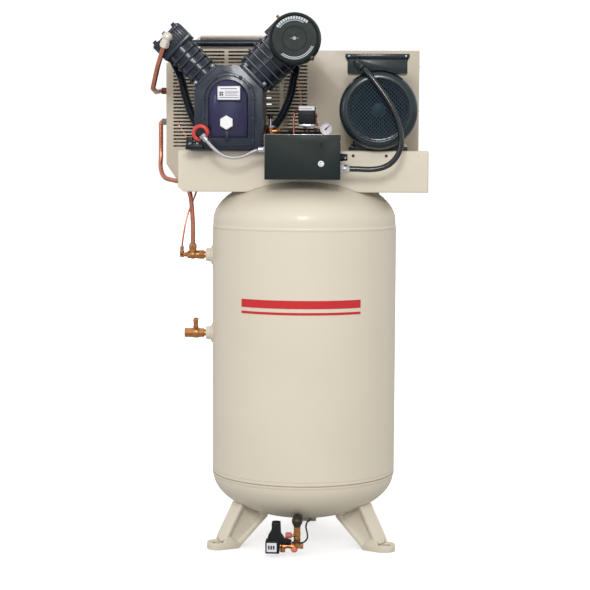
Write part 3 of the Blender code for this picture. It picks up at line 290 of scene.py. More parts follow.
def tube(route, radius, sides=16):
    """A solid round tube along a route; radius is a number, or one for each point."""
    builder = bmesh.new()
    count = len(route)
    radii = list(radius) if hasattr(radius, "__len__") else [radius] * count
    aim = [(route[min(i + 1, count - 1)] - route[max(i - 1, 0)]).normalized() for i in range(count)]
    side = aim[0].orthogonal().normalized()
    rings = []
    for point, forward, reach in zip(route, aim, radii):
        side = (side - forward * side.dot(forward)).normalized()
        up = forward.cross(side)
        ring_points = []
        for k in range(sides):
            angle = 2 * math.pi * k / sides
            offset = side * math.cos(angle) * reach + up * math.sin(angle) * reach
            ring_points.append(builder.verts.new(point + offset))
        rings.append(ring_points)
    for first, second in zip(rings, rings[1:]):
        for k in range(sides):
            j = (k + 1) % sides
            builder.faces.new((first[k], first[j], second[j], second[k]))
    builder.faces.new(rings[0][::-1])
    builder.faces.new(rings[-1])
    bmesh.ops.recalc_face_normals(builder, faces=builder.faces)
    return builder


def shaped(builder, matrix):
    bmesh.ops.transform(builder, matrix=matrix, verts=builder.verts)
    return builder


def merged(*builders):
    """Several shapes as one bmesh."""
    total = bmesh.new()
    for builder in builders:
        mesh = bpy.data.meshes.new("part")
        builder.to_mesh(mesh)
        builder.free()
        total.from_mesh(mesh)
        bpy.data.meshes.remove(mesh)
    return total


def cut(builder, *cutters):
    """The shape with closed cutters taken away."""
    for cutter in cutters:
        pair = []
        for shape in (builder, cutter):
            mesh = bpy.data.meshes.new("operand")
            bmesh.ops.triangulate(shape, faces=[f for f in shape.faces if len(f.verts) > 4])
            shape.to_mesh(mesh)
            shape.free()
            holder = bpy.data.objects.new("operand", mesh)
            bpy.context.scene.collection.objects.link(holder)
            pair.append(holder)
        target, other = pair
        modifier = target.modifiers.new("cut", "BOOLEAN")
        modifier.operation = "DIFFERENCE"
        modifier.solver = "MANIFOLD"
        modifier.object = other
        bpy.context.view_layer.update()
        graph = bpy.context.evaluated_depsgraph_get()
        result = bpy.data.meshes.new_from_object(target.evaluated_get(graph))
        builder = bmesh.new()
        builder.from_mesh(result)
        for holder in pair:
            mesh = holder.data
            bpy.data.objects.remove(holder)
            bpy.data.meshes.remove(mesh)
        bpy.data.meshes.remove(result)
    return builder


def refined(node, bevel, segments=2, sharp_degrees=35):
    """A CAD node's surface with its flat faces made whole again and its sharp edges rounded."""
    builder = bmesh.new()
    builder.from_mesh(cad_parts[node].data)
    bmesh.ops.remove_doubles(builder, verts=builder.verts, dist=2e-5)
    bmesh.ops.dissolve_limit(builder, angle_limit=math.radians(1.0), verts=builder.verts,
                             edges=builder.edges)
    rounded(builder, bevel, segments, sharp_degrees)
    bmesh.ops.translate(builder, vec=-SHIFT, verts=builder.verts)
    return builder


def bolt(point, direction, across=0.013, height=0.006):
    """A hex head on its washer; point is the face it is tightened against."""
    aim = Vector(direction).normalized()
    point = Vector(point)
    return merged(rod(point, aim, across * 0.82, height * 0.22, 28, chamfer=0.0004),
                  rod(point + aim * height * 0.2, aim, across * 0.56, height * 0.8, 6, chamfer=0.0009))


def screw(point, direction, radius=0.004):
    """A low domed head with a cross recess."""
    aim = Vector(direction).normalized()
    point = Vector(point)
    head = lathe([(0, 0), (radius, 0), (radius, radius * 0.25), (radius * 0.75, radius * 0.52),
                  (radius * 0.4, radius * 0.62), (0, radius * 0.64)], point, aim, 28)
    side = aim.orthogonal().normalized()
    up = aim.cross(side)
    cutters = []
    for along in (side, up):
        across = aim.cross(along)
        blade = bmesh.new()
        bmesh.ops.create_cube(blade, size=1.0)
        columns = (along * radius * 1.15, across * radius * 0.22, aim * radius * 0.5)
        matrix = Matrix.Identity(4)
        for i, column in enumerate(columns):
            for j in range(3):
                matrix[j][i] = column[j]
        matrix.translation = point + aim * radius * 0.7
        cutters.append(shaped(blade, matrix))
    for cutter in cutters:
        bmesh.ops.recalc_face_normals(cutter, faces=cutter.faces)
    return cut(head, *cutters)


def piece(name, builder, finish, body="machine", stands_for=(), sharp=32):
    """Makes the shape an object with its finish, on its body, in place of the CAD nodes it stands for."""
    bmesh.ops.translate(builder, vec=SHIFT, verts=builder.verts)
    builder.normal_update()
    mesh = bpy.data.meshes.new(name)
    builder.to_mesh(mesh)
    builder.free()
    made = bpy.data.objects.new(name, mesh)
    bpy.context.scene.collection.objects.link(made)
    mesh.materials.append(finish)
    mesh.shade_smooth()
    mesh.set_sharp_from_angle(angle=math.radians(sharp))
    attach(made, body)
    for node in stands_for:
        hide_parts(node)
    return made


# Camera -------------------------------------------------------------------------------------------
CAMERA_PLACE = Vector((0.2207, -5.4412, 1.3062))
CAMERA_DOWN = 5.06
CAMERA_TURN = 2.64
CAMERA_ROLL = 0.26
CAMERA_LENS = 100.0


def make_camera():
    data = bpy.data.cameras.new("camera")
    data.lens = CAMERA_LENS
    data.sensor_width = 36.0
    camera = bpy.data.objects.new("camera", data)
    bpy.context.scene.collection.objects.link(camera)
    turn = Matrix.Rotation(math.radians(CAMERA_TURN), 4, "Z")
    tilt = Matrix.Rotation(math.radians(90 - CAMERA_DOWN), 4, "X")
    roll = Matrix.Rotation(math.radians(CAMERA_ROLL), 4, "Z")
    camera.matrix_world = Matrix.Translation(CAMERA_PLACE + SHIFT) @ turn @ tilt @ roll
    bpy.context.scene.camera = camera


make_camera()


# Finishes -----------------------------------------------------------------------------------------
def linear(red, green, blue):
    """A display colour of 0 to 255 as linear light."""
    return tuple(((c / 255) / 12.92 if c / 255 <= 0.04045 else ((c / 255 + 0.055) / 1.055) ** 2.4)
                 for c in (red, green, blue))


GLOSS_SPREAD = 0.06


def finish(name, slot, colour, roughness, metallic=0.0, tint=0.06, tint_size=0.06, grain=0.10,
           grain_size=0.0016, grain_depth=0.0002, coat=0.0, specular=0.5):
    """A surface whose colour, gloss and relief all vary a little, at sizes given in metres."""
    made = bpy.data.materials.new(name)
    made.use_nodes = True
    made["slot"] = slot
    nodes, links = made.node_tree.nodes, made.node_tree.links
    shader = nodes["Principled BSDF"]
    shader.inputs["Metallic"].default_value = metallic
    shader.inputs["Coat Weight"].default_value = coat
    shader.inputs["Coat Roughness"].default_value = 0.12
    shader.inputs["Specular IOR Level"].default_value = specular
    place = nodes.new("ShaderNodeTexCoord")

    def noise(size, detail):
        cloud = nodes.new("ShaderNodeTexNoise")
        cloud.inputs["Scale"].default_value = 1.0 / size
        cloud.inputs["Detail"].default_value = detail
        links.new(place.outputs["Object"], cloud.inputs["Vector"])
        return cloud.outputs["Fac"]

    ramp = nodes.new("ShaderNodeValToRGB")
    ramp.color_ramp.elements[0].position = 0.30
    ramp.color_ramp.elements[1].position = 0.70
    ramp.color_ramp.elements[0].color = (*[c * (1 - tint) for c in colour], 1)
    ramp.color_ramp.elements[1].color = (*[min(1.0, c * (1 + tint)) for c in colour], 1)
    links.new(noise(tint_size, 4), ramp.inputs["Fac"])
    links.new(ramp.outputs["Color"], shader.inputs["Base Color"])
    spread = nodes.new("ShaderNodeMapRange")
    spread.inputs["From Min"].default_value = 0.3
    spread.inputs["From Max"].default_value = 0.7
    spread.inputs["To Min"].default_value = max(0.02, roughness - GLOSS_SPREAD)
    spread.inputs["To Max"].default_value = min(1.0, roughness + GLOSS_SPREAD)
    links.new(noise(tint_size * 0.3, 3), spread.inputs["Value"])
    links.new(spread.outputs["Result"], shader.inputs["Roughness"])
    bump = nodes.new("ShaderNodeBump")
    bump.inputs["Strength"].default_value = grain
    bump.inputs["Distance"].default_value = grain_depth
    links.new(noise(grain_size, 2), bump.inputs["Height"])
    links.new(bump.outputs["Normal"], shader.inputs["Normal"])
    return made


BEIGE = finish("beige_powder_coat", "beige_paint", linear(222, 213, 193), 0.42, tint=0.02,
               tint_size=0.25, grain=0.25, grain_size=0.0025, coat=0.15)
GUARD_BEIGE = finish("beige_guard_paint", "beige_paint", linear(206, 194, 174), 0.45, tint=0.03,
                     tint_size=0.12, grain=0.3, grain_size=0.002, coat=0.1)
CAST_NAVY = finish("cast_navy_enamel", "pump_paint", linear(27, 38, 54), 0.33, tint=0.25,
                   tint_size=0.02, grain=0.6, grain_size=0.0035, grain_depth=0.0005, coat=0.3, specular=0.4)
# Crankcase dome finish: the casting's navy enamel, made lighter and violet as a painted sheen; the lamps add
# the real reflections on top.
NAVY_WITH_PAINTED_SHEEN = finish("navy_enamel_painted_violet_sheen", "pump_paint", linear(46, 45, 80), 0.36, metallic=0.45,
                     tint=0.12, tint_size=0.05, grain=0.2, grain_size=0.004, coat=0.3)
GLOSS_BLACK = finish("motor_black_enamel", "black_paint", linear(25, 39, 43), 0.26, tint=0.15,
                     tint_size=0.03, grain=0.3, grain_size=0.002, coat=0.35, specular=0.35)
SATIN_GREEN_BLACK = finish("enclosure_paint", "black_paint", linear(17, 30, 28), 0.42, tint=0.05,
                           tint_size=0.05, grain=0.35, grain_size=0.0018, specular=0.3)
DARK_PLASTIC = finish("dark_moulding", "black_plastic", linear(14, 19, 21), 0.40, tint=0.12,
                      tint_size=0.01, grain=0.3, grain_size=0.001, specular=0.3)
FAN_SHADE = finish("fan_moulding", "black_plastic", linear(7, 9, 11), 0.7, tint=0.1, tint_size=0.01,
                   specular=0.05)
# Motor rotor: near-black as painted shade, so the space behind the fan looks like the dark inside of the
# motor.
ROTOR_PAINTED_SHADE = finish("rotor_darkened_painted_shade", "bearing_steel", linear(30, 33, 36), 0.6, 0.2, tint=0.1, tint_size=0.01,
                     specular=0.1)
NET_PAINT = finish("net_paint", "black_paint", linear(36, 52, 62), 0.5, tint=0.15, tint_size=0.02,
                   specular=0.15)
BELT_RUBBER = finish("belt_rubber", "rubber", linear(30, 30, 31), 0.75, tint=0.2, tint_size=0.01,
                     grain=0.6, grain_size=0.001)
CONDUIT_BLACK = finish("conduit_sheath", "rubber", linear(14, 20, 22), 0.12, tint=0.15,
                       tint_size=0.02, grain=0.2, grain_size=0.002, coat=0.5)
LEAD_BLACK = finish("lead_sheath", "rubber", linear(24, 25, 25), 0.5, tint=0.15, tint_size=0.01)
ZINC = finish("zinc_plate", "bearing_steel", linear(196, 200, 206), 0.28, 1.0, tint=0.08,
              tint_size=0.012, grain=0.2, grain_size=0.0012)
GROUND_STEEL = finish("ground_steel", "bearing_steel", linear(180, 182, 186), 0.25, 1.0, tint=0.06,
                      tint_size=0.02, grain=0.3, grain_size=0.0008)
TURNED_IRON = finish("turned_iron", "bare_iron", linear(96, 96, 98), 0.45, 0.9, tint=0.12,
                     tint_size=0.01, grain=0.4, grain_size=0.0012)
PISTON_ALLOY = finish("piston_alloy", "piston_alloy", linear(176, 178, 180), 0.4, 1.0, tint=0.06,
                      tint_size=0.01)
BRAID = finish("braided_steel", "steel_braid", linear(206, 200, 204), 0.32, 0.9, tint=0.18,
               tint_size=0.003, grain=0.7, grain_size=0.0009, grain_depth=0.0004)
COPPER = finish("drawn_copper", "copper", linear(208, 136, 112), 0.27, 1.0, tint=0.14,
                tint_size=0.05, grain=0.15, grain_size=0.002)
BRASS = finish("turned_brass", "brass", linear(196, 138, 88), 0.32, 1.0, tint=0.14,
               tint_size=0.01, grain=0.3, grain_size=0.001)
CREAM_METAL = finish("pale_fitting", "copper", linear(226, 218, 206), 0.36, 0.35, tint=0.05,
                     tint_size=0.01, grain=0.2)
DARK_RED_METAL = finish("dark_red_fitting", "copper", linear(112, 72, 60), 0.38, 0.7, tint=0.15,
                        tint_size=0.006)
GREY_METAL = finish("grey_fitting", "copper", linear(150, 146, 142), 0.38, 0.9, tint=0.1,
                    tint_size=0.008)
DARK_METAL = finish("dark_nipple", "brass", linear(74, 66, 58), 0.4, 0.8, tint=0.15, tint_size=0.008)
GAUGE_STEEL = finish("gauge_case_steel", "gauge_steel", linear(205, 200, 208), 0.2, 1.0, tint=0.06,
                     tint_size=0.01)
DIAL_WHITE = finish("dial_enamel", "gauge_steel", linear(238, 234, 238), 0.45, tint=0.01,
                    tint_size=0.01, grain=0.05)
INK = finish("printed_ink", "black_plastic", linear(24, 24, 26), 0.55, tint=0.05, tint_size=0.01)
PALE_PRINT = finish("pale_print", "white_plastic", linear(206, 214, 216), 0.5, tint=0.03, tint_size=0.01)
STRIPE_RED = finish("stripe_vinyl", "red_plastic", linear(204, 34, 40), 0.35, tint=0.04,
                   tint_size=0.02, grain=0.05)
RED = finish("red_moulding", "red_plastic", linear(206, 62, 58), 0.32, tint=0.08, tint_size=0.008,
             grain=0.15)
DARK_RED = finish("lever_moulding", "red_plastic", linear(138, 46, 46), 0.36, tint=0.08, tint_size=0.008)
KNOB_PINK = finish("knob_moulding", "red_plastic", linear(202, 104, 96), 0.36, tint=0.1, tint_size=0.006)
ORANGE = finish("orange_moulding", "red_plastic", linear(236, 128, 92), 0.35, tint=0.08,
                tint_size=0.006)
WHITE = finish("white_moulding", "white_plastic", linear(240, 240, 238), 0.33, tint=0.02,
               tint_size=0.01, grain=0.1)
LABEL_WHITE = finish("label_paper", "white_plastic", linear(232, 230, 236), 0.5, tint=0.02,
                     tint_size=0.006, grain=0.1)

# Cords: the two conduits that hang free between fittings ---------------------------------------
MOTOR_CONDUIT_R = 0.009
SWITCH_CONDUIT_R = 0.006
MOTOR_CONDUIT_ROUTE = [
    JUNCTION_EXIT + JUNCTION_AIM * 0.0285, (0.2080, -0.2225, 1.5480), (0.2370, -0.2310, 1.5120),
    (0.2650, -0.2370, 1.4730), (0.2900, -0.2410, 1.4290), (0.3080, -0.2430, 1.3810),
    (0.3140, -0.2440, 1.3350), (0.3060, -0.2440, 1.2970), (0.2830, -0.2430, 1.2660),
    (0.2510, -0.2415, 1.2500), (0.2150, -0.2400, 1.2455), (0.1800, -0.2400, 1.2465),
    (0.1518, -0.2400, 1.2470),
]
SWITCH_CONDUIT_ROUTE = [
    OIL_SWITCH + OIL_SWITCH_AIM * 0.0330, (-0.2830, -0.2550, 1.3150), (-0.2660, -0.2560, 1.2995),
    (-0.2460, -0.2565, 1.2875), (-0.2240, -0.2565, 1.2815), (-0.2010, -0.2560, 1.2815),
    (-0.1780, -0.2555, 1.2880), (-0.1570, -0.2550, 1.2985), (-0.1392, -0.2550, 1.3055),
]


def make_conduit(name, node, route, radius, pitch, depth, steps, look):
    """A ribbed flexible conduit that ends in a fitting on the object again."""
    line = even_route(smooth_route(route, 12), pitch / steps)
    radii = [radius - depth * (0.5 - 0.5 * math.cos(2 * math.pi * i / steps)) for i in range(len(line))]
    made = piece(name, tube(line, radii, 20), look, stands_for=[node], sharp=80)
    return made


make_conduit("motor_lead_conduit", "motor_conduit", MOTOR_CONDUIT_ROUTE, MOTOR_CONDUIT_R, 0.0045,
             0.00015, 4, CONDUIT_BLACK)
make_conduit("oil_switch_conduit", "switch_conduit", SWITCH_CONDUIT_ROUTE, SWITCH_CONDUIT_R, 0.0030,
             0.0007, 6, BRAID)


# The receiver -------------------------------------------------------------------------------------
HEAD_TUCK = 0.0022
FINE_SIDES = 160


def head_height(x, y):
    """How far a head stands above its widest circle at a place."""
    reach = math.hypot(x, y) / TANK_R
    return HEAD_DEPTH * math.sqrt(max(0.0, 1 - reach * reach))


def head_arc(radius, depth, rows=28):
    points = [(radius * math.cos(math.pi / 2 * i / rows), depth * math.sin(math.pi / 2 * i / rows))
              for i in range(rows + 1)]
    points[-1] = (0, depth)
    return points


def dished_head(centre_z, seam_z, direction, groove):
    outer = head_arc(TANK_R - HEAD_TUCK, HEAD_DEPTH)
    inner = head_arc(TANK_R - 0.007, HEAD_DEPTH - 0.005)
    skirt = -abs(centre_z - seam_z)
    profile = [(r, h) for r, h in reversed(inner)]
    profile += [(TANK_R - 0.007, skirt), (TANK_R - 0.006, skirt), (TANK_R - 0.006, skirt + groove),
                (TANK_R - HEAD_TUCK, skirt + groove + 0.0008)]
    return lathe(profile + outer, (0, 0, centre_z), (0, 0, direction), FINE_SIDES)


def tank_cutter(clearance=0.0004):
    top = [(r, TOP_HEAD_Z + h) for r, h in head_arc(TANK_R + clearance, HEAD_DEPTH + clearance, 16)]
    bottom = [(r, BOTTOM_HEAD_Z - h) for r, h in head_arc(TANK_R + clearance, HEAD_DEPTH + clearance, 16)]
    return lathe(bottom[::-1] + top, (0, 0, 0), UP, 120)


def make_receiver():
    edge = 0.0012
    crease = SEAM_BOTTOM_Z + 0.0105
    shell = [(TANK_R - 0.005, SEAM_BOTTOM_Z), (TANK_R - edge, SEAM_BOTTOM_Z), (TANK_R, SEAM_BOTTOM_Z + edge),
             (TANK_R, crease - 0.0014), (TANK_R - 0.0016, crease - 0.0006),
             (TANK_R - 0.0016, crease + 0.0006),
             (TANK_R, crease + 0.0014),
             (TANK_R, SEAM_TOP_Z - edge), (TANK_R - edge, SEAM_TOP_Z), (TANK_R - 0.005, SEAM_TOP_Z)]
    piece("receiver_shell", lathe(shell, (0, 0, 0), UP, FINE_SIDES), BEIGE,
          stands_for=["tank_shell"])
    piece("receiver_top_head", dished_head(TOP_HEAD_Z, SEAM_TOP_Z, 1, 0.0006), BEIGE,
          stands_for=["tank_top_head"])
    piece("receiver_bottom_head", dished_head(BOTTOM_HEAD_Z, SEAM_BOTTOM_Z, -1, 0.0034), BEIGE,
          stands_for=["tank_bottom_head"])
    seams = []
    for z, side, groove in ((SEAM_BOTTOM_Z, -1, 0.0036), (SEAM_TOP_Z, 1, 0.0003)):
        seams.append(lathe([(TANK_R - 0.005, z + side * groove), (TANK_R - 0.0012, z + side * groove),
                            (TANK_R + 0.0002, z + side * 0.0048), (TANK_R - 0.0002, z + side * 0.0085),
                            (TANK_R - HEAD_TUCK, z + side * 0.012), (TANK_R - 0.005, z + side * 0.012)],
                           (0, 0, 0), UP, FINE_SIDES))
    piece("receiver_seam_welds", merged(*seams), BEIGE)
    seam = []
    for k in range(90):
        t = k / 89
        z = SEAM_BOTTOM_Z + 0.02 + (SEAM_TOP_Z - SEAM_BOTTOM_Z - 0.04) * t
        angle = math.radians(118) + 0.0005 * math.sin(40 * t)
        seam.append(Vector(((TANK_R - 0.0004) * math.cos(angle), (TANK_R - 0.0004) * math.sin(angle), z)))
    widths = [0.0030 + 0.0003 * math.sin(i * 1.9) for i in range(len(seam))]
    piece("receiver_long_seam", tube(seam, widths, 10), BEIGE)


def make_port_bosses():
    for name, z in (("upper_port_boss", UPPER_PORT_Z), ("lower_port_boss", LOWER_PORT_Z)):
        profile = [(0.011, -0.004), (0.0325, -0.004), (0.0330, 0.0012), (0.0300, 0.0030), (0.0270, 0.0042),
                   (0.0250, 0.0062), (0.0228, 0.0078), (0.0220, 0.0100), (0.0220, 0.0200),
                   (0.0205, 0.0215), (0.011, 0.0215)]
        piece(name + "_forging", lathe(profile, (-TANK_R - 0.0008, 0, z), TO_LEFT, 48), BEIGE,
              stands_for=[name], sharp=50)


LEG_ANGLES = {"leg_left": 210.0, "leg_right": -30.0, "leg_rear": 90.0}
LEG_HALF = 0.035
LEG_POCKET = 0.0030
PAD_REACH = 0.315


def make_legs():
    """Pressed channel legs, sunk between their edges, with a dished, slotted pad that is hollow below."""
    web = [(0.172, 0.160), (0.2180, 0.166), (0.2860, 0.042), (0.2600, 0.024), (0.178, 0.092)]
    for name, degrees in LEG_ANGLES.items():
        turn = Matrix.Rotation(math.radians(degrees), 4, "Z")
        cutters = []
        for side in (-1, 1):
            near, far = sorted((side * (LEG_HALF - LEG_POCKET), side * (LEG_HALF + 0.01)))
            cutters.append(prism(web, "xz", near, far, 0.0012, 2))
        cutters.append(rod((PAD_REACH, 0, -0.01), UP, 0.0300, 0.0265, 48))
        cutters.append(lathe([(0, 0), (0.0255, 0), (0.0285, 0.0030), (0, 0.0030)],
                             (PAD_REACH + 0.002, 0, 0.0198),
                             UP, 48))
        slot = merged(rod((PAD_REACH + 0.004, 0, 0.010), UP, 0.0085, 0.02, 24),
                      rod((PAD_REACH + 0.016, 0, 0.010), UP, 0.0085, 0.02, 24),
                      box((PAD_REACH + 0.004, -0.0085, 0.010), (PAD_REACH + 0.016, 0.0085, 0.030), 0))
        leg = refined(name, 0.0022, 3)
        for cutter in [*cutters, slot]:
            leg = cut(leg, shaped(cutter, turn))
        piece(name + "_pressing", leg, BEIGE, stands_for=[name], sharp=40)


make_receiver()
make_port_bosses()
make_legs()


# The deck -----------------------------------------------------------------------------------------
def make_deck():
    sheet = 0.003
    tray = box(DECK_LOW, DECK_HIGH, 0.007, 4)
    inside = box(DECK_LOW + Vector((sheet, sheet, -0.05)), DECK_HIGH - Vector((sheet, sheet, sheet)),
                 0.004, 3)
    corner = prism([(-0.420, 1.2003), (-0.3805, 1.165), (-0.3805, 1.140), (-0.420, 1.140)], "xz",
                   DECK_LOW.y - 0.01, DECK_HIGH.y + 0.01)
    notch = box((-0.420, -0.012, 1.140), (-0.390, 0.045, 1.212), 0.004)
    foot = box((DECK_LOW.x - 0.01, DECK_LOW.y - 0.01, DECK_LOW.z - 0.02),
               (DECK_HIGH.x + 0.01, DECK_HIGH.y + 0.01, DECK_LOW.z + 0.0002), 0)
    pipe_hole = rod((MANIFOLD.x, MANIFOLD.y, 1.28), UP, 0.013, 0.05)
    tube_hole = rod((UNLOADER.x, UNLOADER.y, 1.28), UP, 0.007, 0.05)
    tray = cut(tray, inside, tank_cutter(0.0008), corner, notch, foot, pipe_hole, tube_hole)
    piece("deck_tray", tray, BEIGE, stands_for=["top_plate"], sharp=40)
    front = DECK_LOW.y
    dark = [screw((x, front, 1.2880), TO_FRONT, 0.0048) for x in (0.162, 0.268)]
    piece("deck_dark_screws", merged(*dark), DARK_METAL)
    pale = [screw((x, front, z), TO_FRONT, 0.0030)
            for x, z in ((0.262, 1.216), (0.300, 1.215), (0.372, 1.288), (-0.386, 1.286), (-0.386, 1.224))]
    piece("deck_skirt_screws", merged(*pale), BEIGE)
    rear = [screw((x, DECK_HIGH.y, 1.286), TO_BACK, 0.0038) for x in (-0.36, -0.12, 0.12, 0.36)]
    piece("deck_rear_screws", merged(*rear), ZINC)


make_deck()


# The pump -----------------------------------------------------------------------------------------
def leaned(builder, stage):
    """Moves a shape drawn along +Z over the origin to its cylinder's place on the crankcase."""
    lean = Matrix.Rotation(math.radians(stage["lean"]), 4, "Y")
    return shaped(builder, Matrix.Translation(CRANK + Vector((0, stage["y"], 0))) @ lean)


def at_crank(points):
    return [(CRANK.x + x, CRANK.z + z) for x, z in points]


def arch(half, foot):
    """Straight sides from the foot up to the crank's axis, then a round top, as points about that axis."""
    steps = 24
    right = [(half, foot), (half, 0)]
    for i in range(1, steps):
        angle = math.pi / 2 * i / steps
        right.append((half * math.cos(angle), half * math.sin(angle)))
    return right + [(0, half)] + [(-x, z) for x, z in reversed(right)]


def swollen(outlines):
    """A skin through a stack of (outline, y) rings from the widest to the smallest, closed at both ends."""
    builder = bmesh.new()
    rings = [[builder.verts.new((CRANK.x + x, y, CRANK.z + z)) for x, z in outline] for outline,
             y in outlines]
    count = len(rings[0])
    for first, second in zip(rings, rings[1:]):
        for i in range(count):
            j = (i + 1) % count
            builder.faces.new((first[i], first[j], second[j], second[i]))
    builder.faces.new(rings[0])
    builder.faces.new(rings[-1])
    bmesh.ops.recalc_face_normals(builder, faces=builder.faces)
    return builder


def switch_clearance(front):
    """Cutters that clear the door's lower corner for the round oil level switch."""
    return [rod((OIL_SWITCH.x, front + 0.02, OIL_SWITCH.z), TO_FRONT, 0.0305, 0.06, 48),
            box((CRANK.x - 0.100, front - 0.04, CRANK.z - 0.160),
                (OIL_SWITCH.x + 0.0295, front + 0.02, OIL_SWITCH.z), 0)]


def make_crankcase():
    piece("crankcase_casting", refined("crankcase", 0.004, 3, 30), CAST_NAVY,
          stands_for=["crankcase"], sharp=40)
    front = CRANKCASE_FRONT - GAP
    door = cut(prism(at_crank(arch(0.084, -0.146)), "xz", front - 0.0085, front, 0.0015, 2),
               *switch_clearance(front))
    rim = cut(prism(at_crank(arch(0.084, -0.146)), "xz", front - 0.013, front - 0.006, 0.002, 2),
              prism(at_crank(arch(0.0755, -0.150)), "xz", front - 0.03, front + 0.01),
              *switch_clearance(front))
    pocket = rod((CRANK.x, front + 0.01, CRANK.z), TO_FRONT, 0.0315, 0.031, 32)
    piece("crankcase_door", merged(cut(door, pocket), rim), CAST_NAVY, stands_for=["crankcase_cover"],
          sharp=40)
    layers = []
    rows = 14
    for i in range(rows + 1):
        angle = math.pi / 2 * i / rows
        shrink = 1 - 0.985 * (1 - math.cos(angle))
        outline = []
        for x, z in arch(0.0640, -0.128):
            corner_x = max(-1.0, min(1.0, x / 0.0640))
            lowered = z if z > 0 else z * (1 - 0.06 * abs(corner_x) ** 6)
            centre_z = -0.032
            outline.append((x * shrink, centre_z + (lowered - centre_z) * (0.35 + 0.65 * shrink)))
        layers.append((outline, front - 0.006 - 0.0275 * math.sin(angle)))
    swell = cut(swollen(layers), rod((CRANK.x, front + 0.01, CRANK.z), TO_FRONT, 0.0315, 0.0305, 32),
                rod((OIL_SWITCH.x, front + 0.02, OIL_SWITCH.z), TO_FRONT, 0.0300, 0.07, 48))
    # The dome's lighter violet colour is a painted sheen over the navy enamel.
    piece("crankcase_dome", swell, NAVY_WITH_PAINTED_SHEEN, sharp=50)
    boss = rod((PLUG.x, front - 0.005, PLUG.z), TO_FRONT, 0.0265, front - 0.005 - PLUG.y - GAP, 48,
               end_radius=0.0235, chamfer=0.002)
    web = box((PLUG.x - 0.006, front - 0.030, CRANK.z - 0.128),
              (PLUG.x + 0.006, front - 0.004, PLUG.z - 0.018), 0.002)
    piece("crankcase_plug_boss", merged(boss, web), CAST_NAVY, sharp=40)
    heads = []
    for x, z in ((-0.0795, 0.004), (0.0795, 0.004), (-0.0690, 0.0400), (0.0690, 0.0400), (-0.0400, 0.0690),
                 (0.0400, 0.0690), (0.0795, -0.060), (-0.0795, -0.060), (0.0795, -0.128)):
        heads.append(bolt((CRANK.x + x, front - 0.0125, CRANK.z + z), TO_FRONT, 0.008, 0.005))
    piece("crankcase_door_bolts", merged(*heads), CAST_NAVY)
    anchors = []
    for x in (-0.120, 0.104):
        for y in (-0.185, -0.050):
            anchors.append(bolt((CRANK.x + x, y, DECK_HIGH.z + 0.0143), UP, 0.012, 0.009))
    piece("crankcase_anchor_bolts", merged(*anchors), ZINC)
    base = low("crankcase")
    bracket = merged(box((base.x - 0.006, -0.232, DECK_HIGH.z + 0.001), (base.x + 0.050, -0.202, 1.322),
                         0.002),
                     box((base.x - 0.006, -0.206, DECK_HIGH.z + 0.001), (base.x + 0.018, -0.202, 1.346),
                         0.0015))
    piece("pump_side_bracket", bracket, DARK_PLASTIC)
    bracket_bolts = [bolt((base.x + x, y, 1.3222), UP, 0.009, 0.006)
                     for x, y in ((0.008, -0.218), (0.032, -0.218))]
    piece("pump_bracket_bolts", merged(*bracket_bolts), ZINC)


def make_nameplate():
    """The rating plate in its dark frame, with plain rules where such a plate has print."""
    centre = Vector((-0.2300, -0.2575, 1.4835))
    half_x, half_z = 0.0355, 0.0210
    back = box(centre + Vector((-half_x - 0.004, 0.0, -half_z - 0.004)),
               centre + Vector((half_x + 0.004, 0.016, half_z + 0.004)), 0.003, 3)
    piece("rating_plate_frame", back, CAST_NAVY, sharp=50)
    plate = box(centre + Vector((-half_x, -0.0016, -half_z)), centre + Vector((half_x, 0.001, half_z)),
                0.0012, 3)
    piece("rating_plate", plate, LABEL_WHITE)
    face = centre.y - 0.0018
    rules = []
    for x0, x1, z, thick in ((-0.026, 0.026, 0.0140, 0.0010), (-0.012, 0.030, 0.0060, 0.0006),
                             (-0.012, 0.030, 0.0018, 0.0006), (-0.012, 0.026, -0.0026, 0.0006),
                             (-0.012, 0.030, -0.0070, 0.0006), (-0.030, 0.030, -0.0140, 0.0008)):
        rules.append(box((centre.x + x0, face, centre.z + z - thick),
                         (centre.x + x1, face + 0.0008, centre.z + z + thick), 0.0001, 1))
    for column in range(2):
        for row in range(2):
            x = centre.x - 0.0270 + column * 0.0068
            z = centre.z - 0.0055 + row * 0.0068
            rules.append(box((x - 0.0027, face, z - 0.0027), (x + 0.0027, face + 0.0008, z + 0.0027),
                             0.0002, 1))
    piece("rating_plate_rules", merged(*rules), INK)
    rivets = [ball((centre.x + sx * 0.0330, centre.y - 0.0016, centre.z + sz * 0.0185), 0.0013, 12, 6)
              for sx in (-1, 1) for sz in (-1, 1)]
    piece("rating_plate_rivets", merged(*rivets), ZINC)


